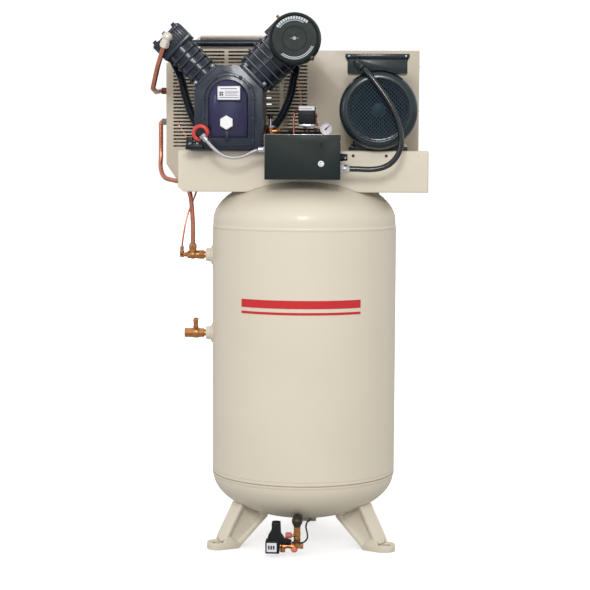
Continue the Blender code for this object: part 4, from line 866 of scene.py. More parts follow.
def make_oil_fittings():
    hexagon = merged(rod(PLUG, TO_FRONT, 0.0160, 0.006, 48),
                     rod(PLUG + Vector((0, -0.004, 0)), TO_FRONT, 0.0225, 0.016, 6, chamfer=0.0022),
                     ball(PLUG + Vector((0, -0.0198, 0)), 0.0030, 20, 8, TO_FRONT, 0.3))
    piece("oil_fill_cap", hexagon, WHITE, stands_for=["oil_fill_plug"])
    x, z = OIL_SWITCH.x, OIL_SWITCH.z
    front = CRANKCASE_FRONT
    glass = merged(rod((x, front - GAP, z), TO_FRONT, 0.019, 0.022, 48),
                   rod((x, front - 0.021, z), TO_FRONT, 0.0155, 0.014, 48, chamfer=0.002),
                   rod((x, front - 0.034, z), TO_FRONT, 0.0100, 0.014, 24, chamfer=0.002))
    piece("oil_switch_body", glass, DARK_PLASTIC)
    profile = [(0.0080 * math.cos(2 * math.pi * k / 12), 0.0068 * math.sin(2 * math.pi * k / 12))
               for k in range(12)]
    start, sweep = math.radians(-28), math.radians(300)
    builder = bmesh.new()
    rings = []
    for i in range(49):
        angle = start + sweep * i / 48
        taper = min(1.0, 0.55 + 4 * min(i, 48 - i) / 48)
        ring_points = []
        for a, b in profile:
            reach = 0.0205 + a * taper
            ring_points.append(builder.verts.new((x + reach * math.cos(angle), front - 0.0262 + b * taper,
                                                  z + reach * math.sin(angle))))
        rings.append(ring_points)
    for first, second in zip(rings, rings[1:]):
        for k in range(12):
            j = (k + 1) % 12
            builder.faces.new((first[k], first[j], second[j], second[k]))
    builder.faces.new(rings[0])
    builder.faces.new(rings[-1])
    bmesh.ops.recalc_face_normals(builder, faces=builder.faces)
    piece("oil_switch_ring", builder, RED, stands_for=["oil_level_switch"], sharp=60)
    connector = merged(rod(OIL_SWITCH, OIL_SWITCH_AIM, 0.0085, 0.0327, 32),
                       rod(OIL_SWITCH + OIL_SWITCH_AIM * 0.008, OIL_SWITCH_AIM, 0.0110, 0.010, 6),
                       rod(OIL_SWITCH + OIL_SWITCH_AIM * 0.021, OIL_SWITCH_AIM, 0.0098, 0.009, 24))
    piece("oil_switch_connector", connector, ZINC)


def make_barrel(stage_name, stage):
    """A cylinder with rounded square fins and a rib up the middle of each side."""
    half = stage["fin"]
    wall = stage["bore"] + 0.010
    shapes = [lathe([(stage["bore"], BARREL_BASE), (wall, BARREL_BASE), (wall, HEAD_BASE - GAP),
                     (stage["bore"], HEAD_BASE - GAP)], (0, 0, 0), UP, 64)]
    flange_half = min(0.054, half)
    hole = [(stage["bore"] * math.cos(2 * math.pi * i / 48), stage["bore"] * math.sin(2 * math.pi * i / 48))
            for i in range(48)]

    def plate(half_x, half_y, bottom, top, corner):
        outline = []
        for cx, cy, turn in ((1, 1, 0), (-1, 1, 90), (-1, -1, 180), (1, -1, 270)):
            for i in range(7):
                angle = math.radians(turn + 15 * i)
                outline.append((cx * (half_x - corner) + corner * math.cos(angle),
                                cy * (half_y - corner) + corner * math.sin(angle)))
        return cut(prism(outline, "xy", bottom, top, 0.0011, 2), prism(hole, "xy", bottom - 0.01, top + 0.01))

    shapes.append(plate(flange_half, half, BARREL_BASE, BARREL_BASE + 0.013, 0.010))
    for height in FIN_HEIGHTS:
        shapes.append(plate(half, half, height - 0.0028, height + 0.0028, 0.014))
    rib = 0.0032
    base = BARREL_BASE + 0.010
    for sign in (-1, 1):
        shapes.append(box((-rib, min(sign * (wall - 0.002), sign * (half - 0.004)), base),
                          (rib, max(sign * (wall - 0.002), sign * (half - 0.004)), HEAD_BASE - 0.001)))
        shapes.append(box((min(sign * (wall - 0.002), sign * (half - 0.004)), -rib, base),
                          (max(sign * (wall - 0.002), sign * (half - 0.004)), rib, HEAD_BASE - 0.001)))
    piece(stage_name + "_barrel", leaned(merged(*shapes), stage), CAST_NAVY,
          stands_for=[stage_name + "_cylinder"], sharp=40)
    nuts = [bolt((sx * (flange_half - 0.012), sy * (half - 0.012), BARREL_BASE + 0.013), UP, 0.011,
                 0.008)
            for sx in (-1, 1) for sy in (-1, 1)]
    piece(stage_name + "_barrel_nuts", leaned(merged(*nuts), stage), ZINC)


def make_head(stage_name, stage):
    """A cylinder head: a plain joint flange, upright fins all round and through bolts."""
    across, deep, top = stage["head"]
    core = box((-across + 0.006, -deep + 0.005, HEAD_BASE + 0.008),
               (across - 0.006, deep - 0.005, top - 0.010), 0.004, 3)
    flange = box((-across, -deep, HEAD_BASE), (across, deep, HEAD_BASE + 0.013), 0.0025, 2)
    cap = box((-across + 0.003, -deep + 0.003, top - 0.016), (across - 0.003, deep - 0.003, top - 0.004),
              0.003, 3)
    shapes = [core, flange, cap]
    pitch = 0.0088
    count = int((deep - 0.004) / pitch)
    for i in range(-count, count + 1):
        y = i * pitch
        shapes.append(box((-across, y - 0.0017, HEAD_BASE + 0.010), (across, y + 0.0017, top - 0.006),
                          0.0008, 1))
    count = int((across - 0.006) / pitch)
    for i in range(-count, count + 1):
        x = i * pitch
        shapes.append(box((x - 0.0017, -deep, HEAD_BASE + 0.010), (x + 0.0017, deep, top - 0.006), 0.0008, 1))
    piece(stage_name + "_head_casting", leaned(merged(*shapes), stage), CAST_NAVY,
          stands_for=[stage_name + "_head"], sharp=40)
    bolts = []
    for x in (-0.72, 0.0, 0.72):
        for y in (-0.72, 0.72):
            bolts.append(bolt((across * x, deep * y, top - 0.0045), UP, 0.0135, 0.0105))
    piece(stage_name + "_head_bolts", leaned(merged(*bolts), stage), CAST_NAVY)


def make_intercoolers():
    rear_second = SECOND_STAGE["y"] + SECOND_STAGE["head"][1] + 0.0015
    rear_first = FIRST_STAGE["y"] + FIRST_STAGE["head"][1] + 0.0015
    top_z = 1.655
    run = rounded_route([(-0.410, rear_second, top_z), (-0.410, -0.012, top_z), (-0.060, -0.012, top_z),
                         (-0.060, rear_first, top_z)], 0.02)
    shapes = [tube(run, 0.011, 20)]
    count = 62
    for i in range(count):
        x = -0.345 + 0.225 * (i + 0.5) / count
        shapes.append(lathe([(0.009, -0.0006), (0.0203, -0.0005), (0.0203, 0.0005), (0.009, 0.0006)],
                            (x, -0.012, top_z), TO_RIGHT, 32))
    piece("intercooler_finned_tube", merged(*shapes), CAST_NAVY, stands_for=["intercooler_upper"])
    nuts = [rod((-0.410, rear_second + 0.001, top_z), TO_BACK, 0.0155, 0.014, 6),
            rod((-0.060, rear_first + 0.001, top_z), TO_BACK, 0.0155, 0.012, 6),
            rod((-0.445, rear_second + 0.001, 1.622), TO_BACK, 0.0155, 0.012, 6),
            rod((-0.025, rear_first + 0.001, 1.622), TO_BACK, 0.0155, 0.010, 6)]
    piece("intercooler_nuts", merged(*nuts), CAST_NAVY)
    back = 0.045
    loop = [(-0.445, rear_second, 1.622), (-0.445, -0.045, 1.622), (-0.437, 0.010, 1.602),
            (-0.417, back, 1.550),
            (-0.397, back, 1.470), (-0.366, back, 1.395), (-0.315, back, 1.345), (-0.235, back, 1.330),
            (-0.155, back, 1.345), (-0.095, back, 1.395), (-0.056, back, 1.470), (-0.038, back, 1.550),
            (-0.029, 0.020, 1.602), (-0.025, 0.0, 1.622), (-0.025, rear_first, 1.622)]
    line = even_route(smooth_route(loop, 12), 0.0011)
    radii = [0.0156 if i % 3 == 0 else 0.0118 for i in range(len(line))]
    radii[:18] = [0.0118] * 18
    radii[-18:] = [0.0118] * 18
    piece("intercooler_loop_tube", tube(line, radii, 20), CAST_NAVY, stands_for=["intercooler_lower"],
          sharp=25)


FIRST_GROOVE = 0.007
GROOVE_PITCH = 0.018


def belt_grooves(radius):
    """The profile of a wheel's two belt grooves and their lips, where the belts run at the radius."""
    lip = radius + 0.008
    profile = [(lip, 0), (lip, 0.005)]
    for i in range(2):
        start = FIRST_GROOVE + i * GROOVE_PITCH
        profile += [(radius - 0.002, start + 0.004), (radius - 0.002, start + 0.014), (lip, start + 0.0175)]
    return profile + [(lip, BELT_BACK - BELT_FRONT)]


def make_flywheel():
    """A grooved rim on five wide spokes, which also blows air over the pump."""
    centre = (CRANK.x, BELT_FRONT, CRANK.z)
    width = BELT_BACK - BELT_FRONT
    groove = [(0.184, 0)] + belt_grooves(FLYWHEEL_R) + [(0.184, width)]
    shapes = [lathe(groove, centre, TO_BACK, 120)]
    hub = lathe([(0.0185, 0), (0.040, 0), (0.042, 0.002), (0.042, width - 0.002), (0.040, width),
                 (0.0185, width)],
                centre, TO_BACK, 48)
    shapes.append(hub)
    for i in range(5):
        spoke = box((0.036, BELT_FRONT + 0.015, -0.016), (0.188, BELT_BACK - 0.015, 0.016), 0.004, 3)
        turn = Matrix.Rotation(2 * math.pi * i / 5, 4, "Y") @ Matrix.Rotation(math.radians(-8), 4, "X")
        shapes.append(shaped(spoke, Matrix.Translation(CRANK) @ turn))
    piece("flywheel_casting", merged(*shapes), CAST_NAVY, body="crank_train", stands_for=["flywheel"])
    ends = [bolt((CRANK.x, high("flywheel").y, CRANK.z), TO_BACK, 0.022, 0.0055)]
    piece("flywheel_end_bolt", merged(*ends), ZINC, body="crank_train")


make_crankcase()
make_nameplate()
make_oil_fittings()
for stage_name, stage in (("second", SECOND_STAGE), ("first", FIRST_STAGE)):
    make_barrel(stage_name, stage)
    make_head(stage_name, stage)
make_intercoolers()
make_flywheel()


def flat_arc(x, y, z, radius, width, start, end, thickness=0.0004, steps=40):
    """A printed arc in an upright plane that faces the front."""
    outline = []
    for i in range(steps + 1):
        angle = math.radians(start + (end - start) * i / steps)
        outline.append((x + (radius + width / 2) * math.cos(angle),
                        z + (radius + width / 2) * math.sin(angle)))
    for i in range(steps, -1, -1):
        angle = math.radians(start + (end - start) * i / steps)
        outline.append((x + (radius - width / 2) * math.cos(angle),
                        z + (radius - width / 2) * math.sin(angle)))
    return prism(outline, "xz", y, y + thickness)


def make_air_filter():
    """A canister with a recessed printed face, a wing nut, one toggle clip and a brass hinge lug."""
    back = high("air_filter").y
    depth = 0.0805
    neck = (FILTER.x, back - 0.010, FILTER.z)
    outer = [(0.022, -0.010), (0.022, 0), (FILTER_R - 0.006, 0), (FILTER_R - 0.001, 0.003),
             (FILTER_R - 0.001, 0.036), (FILTER_R + 0.0008, 0.038), (FILTER_R + 0.0008, 0.044),
             (FILTER_R - 0.001, 0.046), (FILTER_R - 0.001, depth - 0.008), (FILTER_R - 0.004, depth - 0.002),
             (FILTER_R - 0.008, depth), (FILTER_R - 0.0105, depth - 0.0015),
             (FILTER_R - 0.0125, depth - 0.005),
             (0.0400, depth - 0.005), (0.0390, depth - 0.0035), (0.0370, depth - 0.0035),
             (0.0360, depth - 0.005),
             (0, depth - 0.0055)]
    inner = [(0, depth - 0.0085), (FILTER_R - 0.016, depth - 0.0085), (FILTER_R - 0.006, depth - 0.012),
             (FILTER_R - 0.006, 0.006), (FILTER_R - 0.009, 0.003), (0.018, 0.003), (0.018, -0.010)]
    canister = lathe(outer[::-1] + inner[::-1], neck, TO_FRONT, 120)
    piece("filter_canister", canister, SATIN_GREEN_BLACK, stands_for=["air_filter"], sharp=35)
    face = back - 0.010 - depth + 0.0050
    arcs = []
    for radius, start, end, width in ((0.0565, 60, 145, 0.0020), (0.0590, 232, 336, 0.0022)):
        arcs.append(flat_arc(FILTER.x, face - 0.0003, FILTER.z, radius, width, start, end))
    for start, end, dashes, radius, width in ((51, 149, 13, 0.0645, 0.0085), (230, 338, 30, 0.0640, 0.0030)):
        for i in range(dashes):
            step = (end - start) / dashes
            arcs.append(flat_arc(FILTER.x, face - 0.0003, FILTER.z, radius, width, start + i * step,
                                 start + (i + 0.74) * step, steps=4))
    piece("filter_face_print", merged(*arcs), PALE_PRINT)
    wing = [ring((FILTER.x, face + 0.001, FILTER.z), TO_FRONT, 0.0034, 0.0058, 0.0040, 32),
            rod((FILTER.x, face + 0.001, FILTER.z), TO_FRONT, 0.0030, 0.0050, 24)]
    for sign in (-1, 1):
        tab = box((FILTER.x + min(sign * 0.0056, sign * 0.0115), face - 0.0030, FILTER.z - 0.0010),
                  (FILTER.x + max(sign * 0.0056, sign * 0.0115), face + 0.0006, FILTER.z + 0.0010), 0.0006)
        wing += [tab, ball((FILTER.x + sign * 0.0125, face - 0.0012, FILTER.z), 0.0022, 12, 8)]
    piece("filter_wing_nut", merged(*wing), GREY_METAL)
    angle = math.radians(-48)
    radial = Vector((math.cos(angle), 0, math.sin(angle)))
    around = Vector((-math.sin(angle), 0, math.cos(angle)))
    columns = (radial, Vector(TO_BACK), around)
    matrix = Matrix.Identity(4)
    for i, column in enumerate(columns):
        for j in range(3):
            matrix[j][i] = column[j]
    matrix.translation = FILTER + radial * (FILTER_R + 0.0012) + Vector((0, back - 0.010, 0))
    clip = merged(box((-0.0015, -depth + 0.004, -0.007), (0.0015, -0.030, 0.007), 0.0006),
                  box((-0.006, -depth + 0.001, -0.006), (0.0012, -depth + 0.006, 0.006), 0.0006),
                  box((0.0005, -0.046, -0.005), (0.0040, -0.026, 0.005), 0.0010))
    lug_angle = math.radians(128)
    aim = Vector((math.cos(lug_angle), 0, math.sin(lug_angle)))
    plug = merged(rod(FILTER + Vector((0, back - 0.030, 0)) + aim * 0.0800, aim, 0.0055, 0.0150, 6),
                  rod(FILTER + Vector((0, back - 0.030, 0)) + aim * 0.0780, aim, 0.0085, 0.0060, 24))
    piece("filter_hinge_lug", plug, BRASS)
    piece("filter_clips", shaped(clip, matrix), DARK_METAL)


make_air_filter()


# The drive ----------------------------------------------------------------------------------------
GRILLE_R = 0.0945
GRILLE_PITCH = 0.0125


def woven_grille(centre, y):
    """An expanded-metal disc: diamond openings in a thin sheet, sunk a little towards the middle."""
    builder = bmesh.new()
    known = {}

    def point(a, b):
        key = (round(a, 6), round(b, 6))
        if key not in known:
            dish = 0.0035 * (1 - (a * a + b * b) / (GRILLE_R * GRILLE_R))
            known[key] = builder.verts.new((centre.x + a, y + max(0.0, dish), centre.z + b))
        return known[key]

    half = GRILLE_PITCH / 2
    count = int(GRILLE_R / half) + 2
    for i in range(-count, count + 1):
        for j in range(-count, count + 1):
            if (i + j) % 2:
                continue
            a, b = i * half, j * half
            outer = [(a + half, b), (a, b + half), (a - half, b), (a, b - half)]
            if max(math.hypot(*corner) for corner in outer) > GRILLE_R + half * 0.6:
                continue
            inner = [(a + half * 0.60, b), (a, b + half * 0.60), (a - half * 0.60, b), (a, b - half * 0.60)]
            solid_middle = math.hypot(a, b) < 0.020
            for k in range(4):
                n = (k + 1) % 4
                builder.faces.new((point(*outer[k]), point(*outer[n]), point(*inner[n]), point(*inner[k])))
            if solid_middle:
                builder.faces.new([point(*corner) for corner in inner])
    builder.normal_update()
    front = list(builder.faces)
    extruded = bmesh.ops.extrude_face_region(builder, geom=front)
    moved = [v for v in extruded["geom"] if isinstance(v, bmesh.types.BMVert)]
    bmesh.ops.translate(builder, vec=(0, -0.0011, 0), verts=moved)
    bmesh.ops.recalc_face_normals(builder, faces=builder.faces)
    return builder


def make_motor():
    split = -0.150
    rear = 0.120
    shell = [(0.076, -0.100), (0.112, -0.100), (0.112, split), (MOTOR_R - 0.001, split),
             (MOTOR_R, split + 0.001),
             (MOTOR_R, -0.126), (MOTOR_R - 0.0025, -0.124), (MOTOR_R - 0.0025, 0.078), (MOTOR_R, 0.080),
             (MOTOR_R, 0.092), (MOTOR_R - 0.004, 0.101), (0.100, 0.118), (0.094, rear), (0.040, rear),
             (0.038, rear), (0.0128, rear), (0.0128, rear - 0.012), (0.076, rear - 0.020)]
    frame_shell = lathe(shell, MOTOR, TO_BACK, 120)
    base = DECK_HIGH.z + GAP
    feet = [box((MOTOR.x - 0.095, -0.130, base), (MOTOR.x + 0.095, 0.080, base + 0.0125), 0.002)]
    for side in (-1, 1):
        for y0, y1 in ((-0.126, -0.086), (0.036, 0.076)):
            x = MOTOR.x + side * 0.068
            feet.append(box((x - 0.014, y0, base + 0.006), (x + 0.014, y1, MOTOR.z - 0.084), 0.003))
    piece("motor_housing", merged(frame_shell, *feet), GLOSS_BLACK, stands_for=["motor_frame"], sharp=35)
    bolts = [bolt((MOTOR.x + sx * 0.084, y, base + 0.0125), UP, 0.011, 0.008)
             for sx in (-1, 1) for y in (-0.110, 0.060)]
    piece("motor_foot_bolts", merged(*bolts), ZINC)
    through = [bolt((MOTOR.x + 0.100 * math.cos(a), 0.1165, MOTOR.z + 0.100 * math.sin(a)), TO_BACK,
                    0.008, 0.005)
               for a in (math.pi / 4, 3 * math.pi / 4, 5 * math.pi / 4, 7 * math.pi / 4)]
    piece("motor_tie_bolts", merged(*through), ZINC)
    depth = split - GAP - MOTOR_FRONT
    start = (MOTOR.x, split - GAP, MOTOR.z)
    cover = [(MOTOR_R, 0), (MOTOR_R, depth * 0.55), (MOTOR_R - 0.0015, depth * 0.70),
             (MOTOR_R - 0.005, depth * 0.84),
             (MOTOR_R - 0.010, depth * 0.93), (MOTOR_R - 0.016, depth * 0.98), (0.1020, depth),
             (0.0985, depth - 0.0003), (0.0965, depth - 0.0022), (0.0955, depth - 0.0055),
             (0.0925, depth - 0.0060),
             (0.0925, depth - 0.0080), (0.0975, depth - 0.0085), (0.108, depth - 0.006),
             (MOTOR_R - 0.004, depth * 0.70),
             (MOTOR_R - 0.002, 0)]
    piece("motor_cowl", lathe(cover, start, TO_FRONT, 120), GLOSS_BLACK, stands_for=["motor_fan_cover"],
          sharp=45)
    grille_y = MOTOR_FRONT + 0.0066
    piece("motor_grille", woven_grille(MOTOR, grille_y), NET_PAINT, sharp=30)
    cap = lathe([(0, 0.0), (0.0200, 0.0), (0.0200, 0.0010), (0.0160, 0.0022), (0, 0.0030)],
                (MOTOR.x, grille_y + 0.0028, MOTOR.z), TO_FRONT, 48)
    piece("motor_grille_boss", cap, NET_PAINT)


def make_motor_pulley():
    width = BELT_BACK - BELT_FRONT
    profile = [(0.0124, 0)] + belt_grooves(PULLEY_R) + [(0.0124, width)]
    piece("motor_sheave", lathe(profile, (MOTOR.x, BELT_FRONT, MOTOR.z), TO_BACK, 72), TURNED_IRON,
          body="motor_train", stands_for=["motor_pulley"])


def belt_outline(extra):
    """The loop round both wheels at their groove radius plus extra, as tangent lines and arcs."""
    flywheel_steps, pulley_steps = 72, 36
    across = MOTOR.x - CRANK.x
    drop = MOTOR.z - CRANK.z
    span = math.hypot(across, drop)
    tilt = math.atan2(drop, across)
    lean = math.acos((FLYWHEEL_R - PULLEY_R) / span)
    points = []
    for i in range(flywheel_steps + 1):
        angle = tilt + lean + (2 * math.pi - 2 * lean) * i / flywheel_steps
        reach = FLYWHEEL_R + extra
        points.append((CRANK.x + reach * math.cos(angle), CRANK.z + reach * math.sin(angle)))
    for i in range(pulley_steps + 1):
        angle = tilt - lean + 2 * lean * i / pulley_steps
        reach = PULLEY_R + extra
        points.append((MOTOR.x + reach * math.cos(angle), MOTOR.z + reach * math.sin(angle)))
    return points


def make_belts():
    """Two matched V-belts, narrower inside than outside."""
    shapes = []
    for i in range(2):
        middle_y = BELT_FRONT + FIRST_GROOVE + i * GROOVE_PITCH + 0.009
        builder = bmesh.new()
        loops = []
        for extra, y in ((0.0105, middle_y - 0.0078), (0.0105, middle_y + 0.0078),
                         (0.0016, middle_y + 0.0052),
                         (0.0016, middle_y - 0.0052)):
            loops.append([builder.verts.new((a, y, b)) for a, b in belt_outline(extra)])
        count = len(loops[0])
        for first, second in zip(loops, loops[1:] + loops[:1]):
            for k in range(count):
                j = (k + 1) % count
                builder.faces.new((first[k], first[j], second[j], second[k]))
        bmesh.ops.recalc_face_normals(builder, faces=builder.faces)
        shapes.append(builder)
    piece("drive_v_belts", merged(*shapes), BELT_RUBBER, stands_for=["drive_belt"], sharp=40)


SLOT_PITCH = 0.0118
SLOT_HALF = 0.0031
SLOT_BARS = 0.012


def guard_slots():
    """Cutters for the rows of round-ended slots in front of the flywheel, column by column."""
    cutters = []
    left, right = -0.462, 0.008
    columns = 5
    width = (right - left) / columns
    z = 1.318
    while z < 1.645:
        for column in range(columns):
            a = left + column * width + SLOT_BARS / 2
            b = left + (column + 1) * width - SLOT_BARS / 2
            slope = -0.480 + (z - 1.598) / (1.692 - 1.598) * 0.120 + 0.016
            a = max(a, slope)
            if b - a < 0.03 or (z > 1.62 and b > -0.02):
                continue
            outline = []
            for i in range(9):
                angle = math.radians(-90 + 180 * i / 8)
                outline.append((b - SLOT_HALF + SLOT_HALF * math.cos(angle), z + SLOT_HALF * math.sin(angle)))
            for i in range(9):
                angle = math.radians(90 + 180 * i / 8)
                outline.append((a + SLOT_HALF + SLOT_HALF * math.cos(angle), z + SLOT_HALF * math.sin(angle)))
            cutters.append(prism(outline, "xz", GUARD_FRONT - 0.01, GUARD_FRONT + 0.012))
        z += SLOT_PITCH
    return merged(*cutters)


def inset_outline(outline, inset):
    """The same outline moved inwards by a sheet's thickness, for a clockwise list of points."""
    points = [Vector(p) for p in outline]
    count = len(points)
    result = []
    for i in range(count):
        before = (points[i] - points[i - 1]).normalized()
        after = (points[(i + 1) % count] - points[i]).normalized()
        normal_a = Vector((before.y, -before.x))
        normal_b = Vector((after.y, -after.x))
        between = (normal_a + normal_b).normalized()
        result.append(tuple(points[i] + between * inset / between.dot(normal_a)))
    return result


def make_guard():
    """Two pressed trays with round corners; the front one has the air slots, the seam shows as a line."""
    inner = inset_outline(GUARD_OUTLINE, 0.002)
    front = prism(GUARD_OUTLINE, "xz", GUARD_FRONT, GUARD_SPLIT, 0.0035, 3)
    front = cut(front, prism(inner, "xz", GUARD_FRONT + 0.002, GUARD_SPLIT + 0.05),
                box((CRANK.x - 0.065, 0.1, CRANK.z - 0.065), (CRANK.x + 0.065, 0.18, CRANK.z + 0.065), 0.004),
                rod((MOTOR.x, 0.1, MOTOR.z), TO_BACK, 0.022, 0.08),
                guard_slots())
    piece("guard_front_tray", front, GUARD_BEIGE, stands_for=["belt_guard_front"], sharp=40)
    back = prism(GUARD_OUTLINE, "xz", GUARD_SPLIT + GAP, GUARD_BACK, 0.0035, 3)
    slots = []
    for k in range(13):
        z = CRANK.z - 0.132 + k * 0.022
        reach = math.sqrt(0.138**2 - (z - CRANK.z) ** 2) * 0.78
        for side in (-1, 1):
            ends = sorted((CRANK.x + side * 0.012, CRANK.x + side * reach))
            slots.append(box((ends[0], GUARD_BACK - 0.01, z - 0.0022),
                             (ends[1], GUARD_BACK + 0.01, z + 0.0022), 0.0010, 2))
    back = cut(back, prism(inner, "xz", GUARD_SPLIT - 0.05, GUARD_BACK - 0.002), merged(*slots))
    piece("guard_back_tray", back, GUARD_BEIGE, stands_for=["belt_guard_back"], sharp=40)
    screws = []
    for x, z in ((-0.4803, 1.30), (-0.4803, 1.45), (-0.4803, 1.57)):
        screws.append(screw((x, GUARD_SPLIT + 0.012, z), TO_LEFT, 0.0040))
    for z in (1.29, 1.44, 1.59):
        screws.append(screw((0.3803, GUARD_SPLIT + 0.012, z), TO_RIGHT, 0.0040))
    for x, z in ((-0.30, 1.6922), (-0.17, 1.6922), (0.10, 1.6422), (0.30, 1.6422)):
        screws.append(screw((x, GUARD_SPLIT + 0.012, z), UP, 0.0040))
    piece("guard_screws", merged(*screws), ZINC)
    feet = []
    for x in (-0.30, 0.05, 0.30):
        feet.append(box((x - 0.020, 0.1552, 1.262), (x + 0.020, GUARD_FRONT + 0.0002, 1.300), 0.0006, 1))
    piece("guard_deck_straps", merged(*feet), GUARD_BEIGE)


def make_inner_finishes():
    """Finishes for the CAD pieces that are shown as they are, inside the pump and the motor."""
    # The rotor's near-black finish is painted shade for the motor's dark inside behind the fan.
    finishes = {"crankshaft": GROUND_STEEL, "main_bearing_front": GROUND_STEEL,
                "main_bearing_rear": GROUND_STEEL, "second_rod": TURNED_IRON, "first_rod": TURNED_IRON,
                "second_piston": PISTON_ALLOY, "first_piston": PISTON_ALLOY, "motor_rotor": ROTOR_PAINTED_SHADE,
                "motor_fan": FAN_SHADE}
    for node, look in finishes.items():
        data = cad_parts[node].data
        data.materials.clear()
        data.materials.append(look)


make_motor()
make_motor_pulley()
make_belts()
make_guard()
make_inner_finishes()


# Electrical ---------------------------------------------------------------------------------------
def make_junction_box():
    piece("terminal_box", refined("junction_box", 0.0012, 2), GLOSS_BLACK, stands_for=["junction_box"],
          sharp=40)
    lid_low, lid_high = low("junction_box_lid"), high("junction_box_lid")
    lid = box((lid_low.x, lid_low.y, 1.5970), lid_high, 0.0035, 3)
    room = box((lid_low.x + 0.004, lid_low.y + 0.004, 1.57),
               (lid_high.x - 0.004, lid_high.y - 0.004, 1.607), 0.001)
    gasket = box((0.146, -0.186, 1.5936), (0.3285, -0.024, 1.6075), 0.0005)
    piece("terminal_box_lid", merged(cut(lid, room), gasket), GLOSS_BLACK, stands_for=["junction_box_lid"],
          sharp=40)
    corners = [screw((x, y, lid_high.z - 0.0003), UP, 0.0042)
               for x in (lid_low.x + 0.010, lid_high.x - 0.010) for y in (lid_low.y + 0.010,
                                                                          lid_high.y - 0.010)]
    sides = [screw((x, lid_low.y, 1.6035), TO_FRONT, 0.0032) for x in (lid_low.x + 0.012,
                                                                         lid_high.x - 0.012)]
    piece("terminal_box_screws", merged(*corners, *sides), ZINC)
    nut = merged(rod(JUNCTION_EXIT + JUNCTION_AIM * 0.004, JUNCTION_AIM, 0.0145, 0.009, 8),
                 rod(JUNCTION_EXIT + JUNCTION_AIM * 0.015, JUNCTION_AIM, 0.0128, 0.010, 32))
    piece("motor_conduit_nut", nut, GLOSS_BLACK)


def make_control_box():
    body_low, body_high = Vector((-0.112, -0.2825, 1.216)), Vector((0.1205, high("control_box").y, 1.351))
    wall = 0.002
    button_x, button_z = 0.063, 1.263
    body = box(body_low, body_high, 0.0015)
    room = box(body_low + Vector((wall, -0.05, wall)), body_high - Vector((wall, wall, wall)), 0)
    piece("starter_box", cut(body, room), SATIN_GREEN_BLACK, stands_for=["control_box"], sharp=40)
    cover_low, cover_high = low("control_box_cover"), high("control_box_cover")
    shell = box(cover_low, cover_high, 0.0022, 3)
    inside = box((-0.113, BOX_FRONT + wall, 1.215), (0.1215, -0.25, 1.352), 0.0008)
    hole = rod((button_x, -0.30, button_z), TO_BACK, 0.0103, 0.05)
    dots = [rod((0.0635, -0.30, z), TO_BACK, 0.0019, 0.05, 16) for z in (1.3180, 1.3255)]
    piece("starter_cover", cut(shell, inside, hole, *dots), SATIN_GREEN_BLACK,
          stands_for=["control_box_cover"], sharp=40)
    lip = box((cover_low.x - 0.0004, cover_low.y + 0.004, cover_high.z - 0.0006),
              (cover_high.x + 0.0004, cover_high.y, cover_high.z + 0.0008), 0.0005)
    # Paler grey strips along the cover's left and bottom edges.
    pale_edge_strips = merged(box((cover_low.x - 0.0008, cover_low.y + 0.003, cover_low.z - 0.0008),
                      (cover_low.x + 0.0006, cover_high.y, cover_high.z), 0.0004),
                  box((cover_low.x - 0.0008, cover_low.y + 0.003, cover_low.z - 0.0010),
                      (cover_high.x + 0.0006, cover_high.y, cover_low.z + 0.0006), 0.0004))
    piece("starter_cover_lip", lip, ZINC)
    piece("starter_cover_hem", pale_edge_strips, GREY_METAL)
    screws = [screw((x, cover_low.y + 0.008, cover_high.z + 0.0006), UP, 0.003)
              for x in (-0.102, 0.110)]
    screws += [screw((cover_low.x, cover_low.y + 0.008, 1.2835), TO_LEFT, 0.003),
               screw((cover_high.x, cover_low.y + 0.008, 1.3300), TO_RIGHT, 0.003)]
    piece("starter_cover_screws", merged(*screws), ZINC)
    button = merged(rod((button_x, BOX_FRONT + 0.006, button_z), TO_BACK, 0.013, 0.004),
                    rod((button_x, BOX_FRONT + 0.010, button_z), TO_FRONT, 0.0095, 0.016, 48, chamfer=0.0018))
    piece("reset_cap", button, WHITE, body="reset_push", stands_for=["reset_button"])
    mark = merged(flat_arc(button_x, BOX_FRONT - 0.0063, button_z, 0.0042, 0.0013, 60, 330),
                  box((0.0644, BOX_FRONT - 0.0063, 1.2655), (0.0672, BOX_FRONT - 0.0059, 1.2668), 0))
    piece("reset_mark", mark, INK, body="reset_push")
    bezel = ring((button_x, BOX_FRONT + 0.0005, button_z), TO_FRONT, 0.0103, 0.0130, 0.0014)
    piece("reset_bezel", bezel, DARK_PLASTIC)
    x, y = 0.126, -0.240
    silver = merged(rod((x - 0.0065, y, 1.247), TO_RIGHT, 0.0135, 0.0145, 6),
                    rod((x + 0.008, y, 1.247), TO_RIGHT, 0.0118, 0.010, 32),
                    rod((x + 0.016, y, 1.247), TO_RIGHT, 0.0128, 0.0095, 8),
                    bolt((x + 0.0145, -0.2400, 1.2565), UP, 0.005, 0.004),
                    bolt((x + 0.0145, -0.2515, 1.2470), TO_FRONT, 0.005, 0.004))
    piece("conduit_gland_silver", silver, ZINC)
    dark = merged(rod((x - 0.0065, y, 1.283), TO_RIGHT, 0.0130, 0.0125, 8),
                  rod((x + 0.005, y, 1.283), TO_RIGHT, 0.0110, 0.014, 32))
    piece("conduit_gland_dark", dark, DARK_PLASTIC)
    piece("conduit_gland_screw", screw((x + 0.012, -0.2510, 1.281), TO_FRONT, 0.0032), ZINC)
    left = merged(rod((-0.111, -0.255, 1.307), TO_LEFT, 0.0100, 0.012, 6),
                  rod((-0.122, -0.255, 1.307), TO_LEFT, 0.0085, 0.015, 32))
    piece("switch_conduit_gland", left, ZINC)


make_junction_box()
make_control_box()


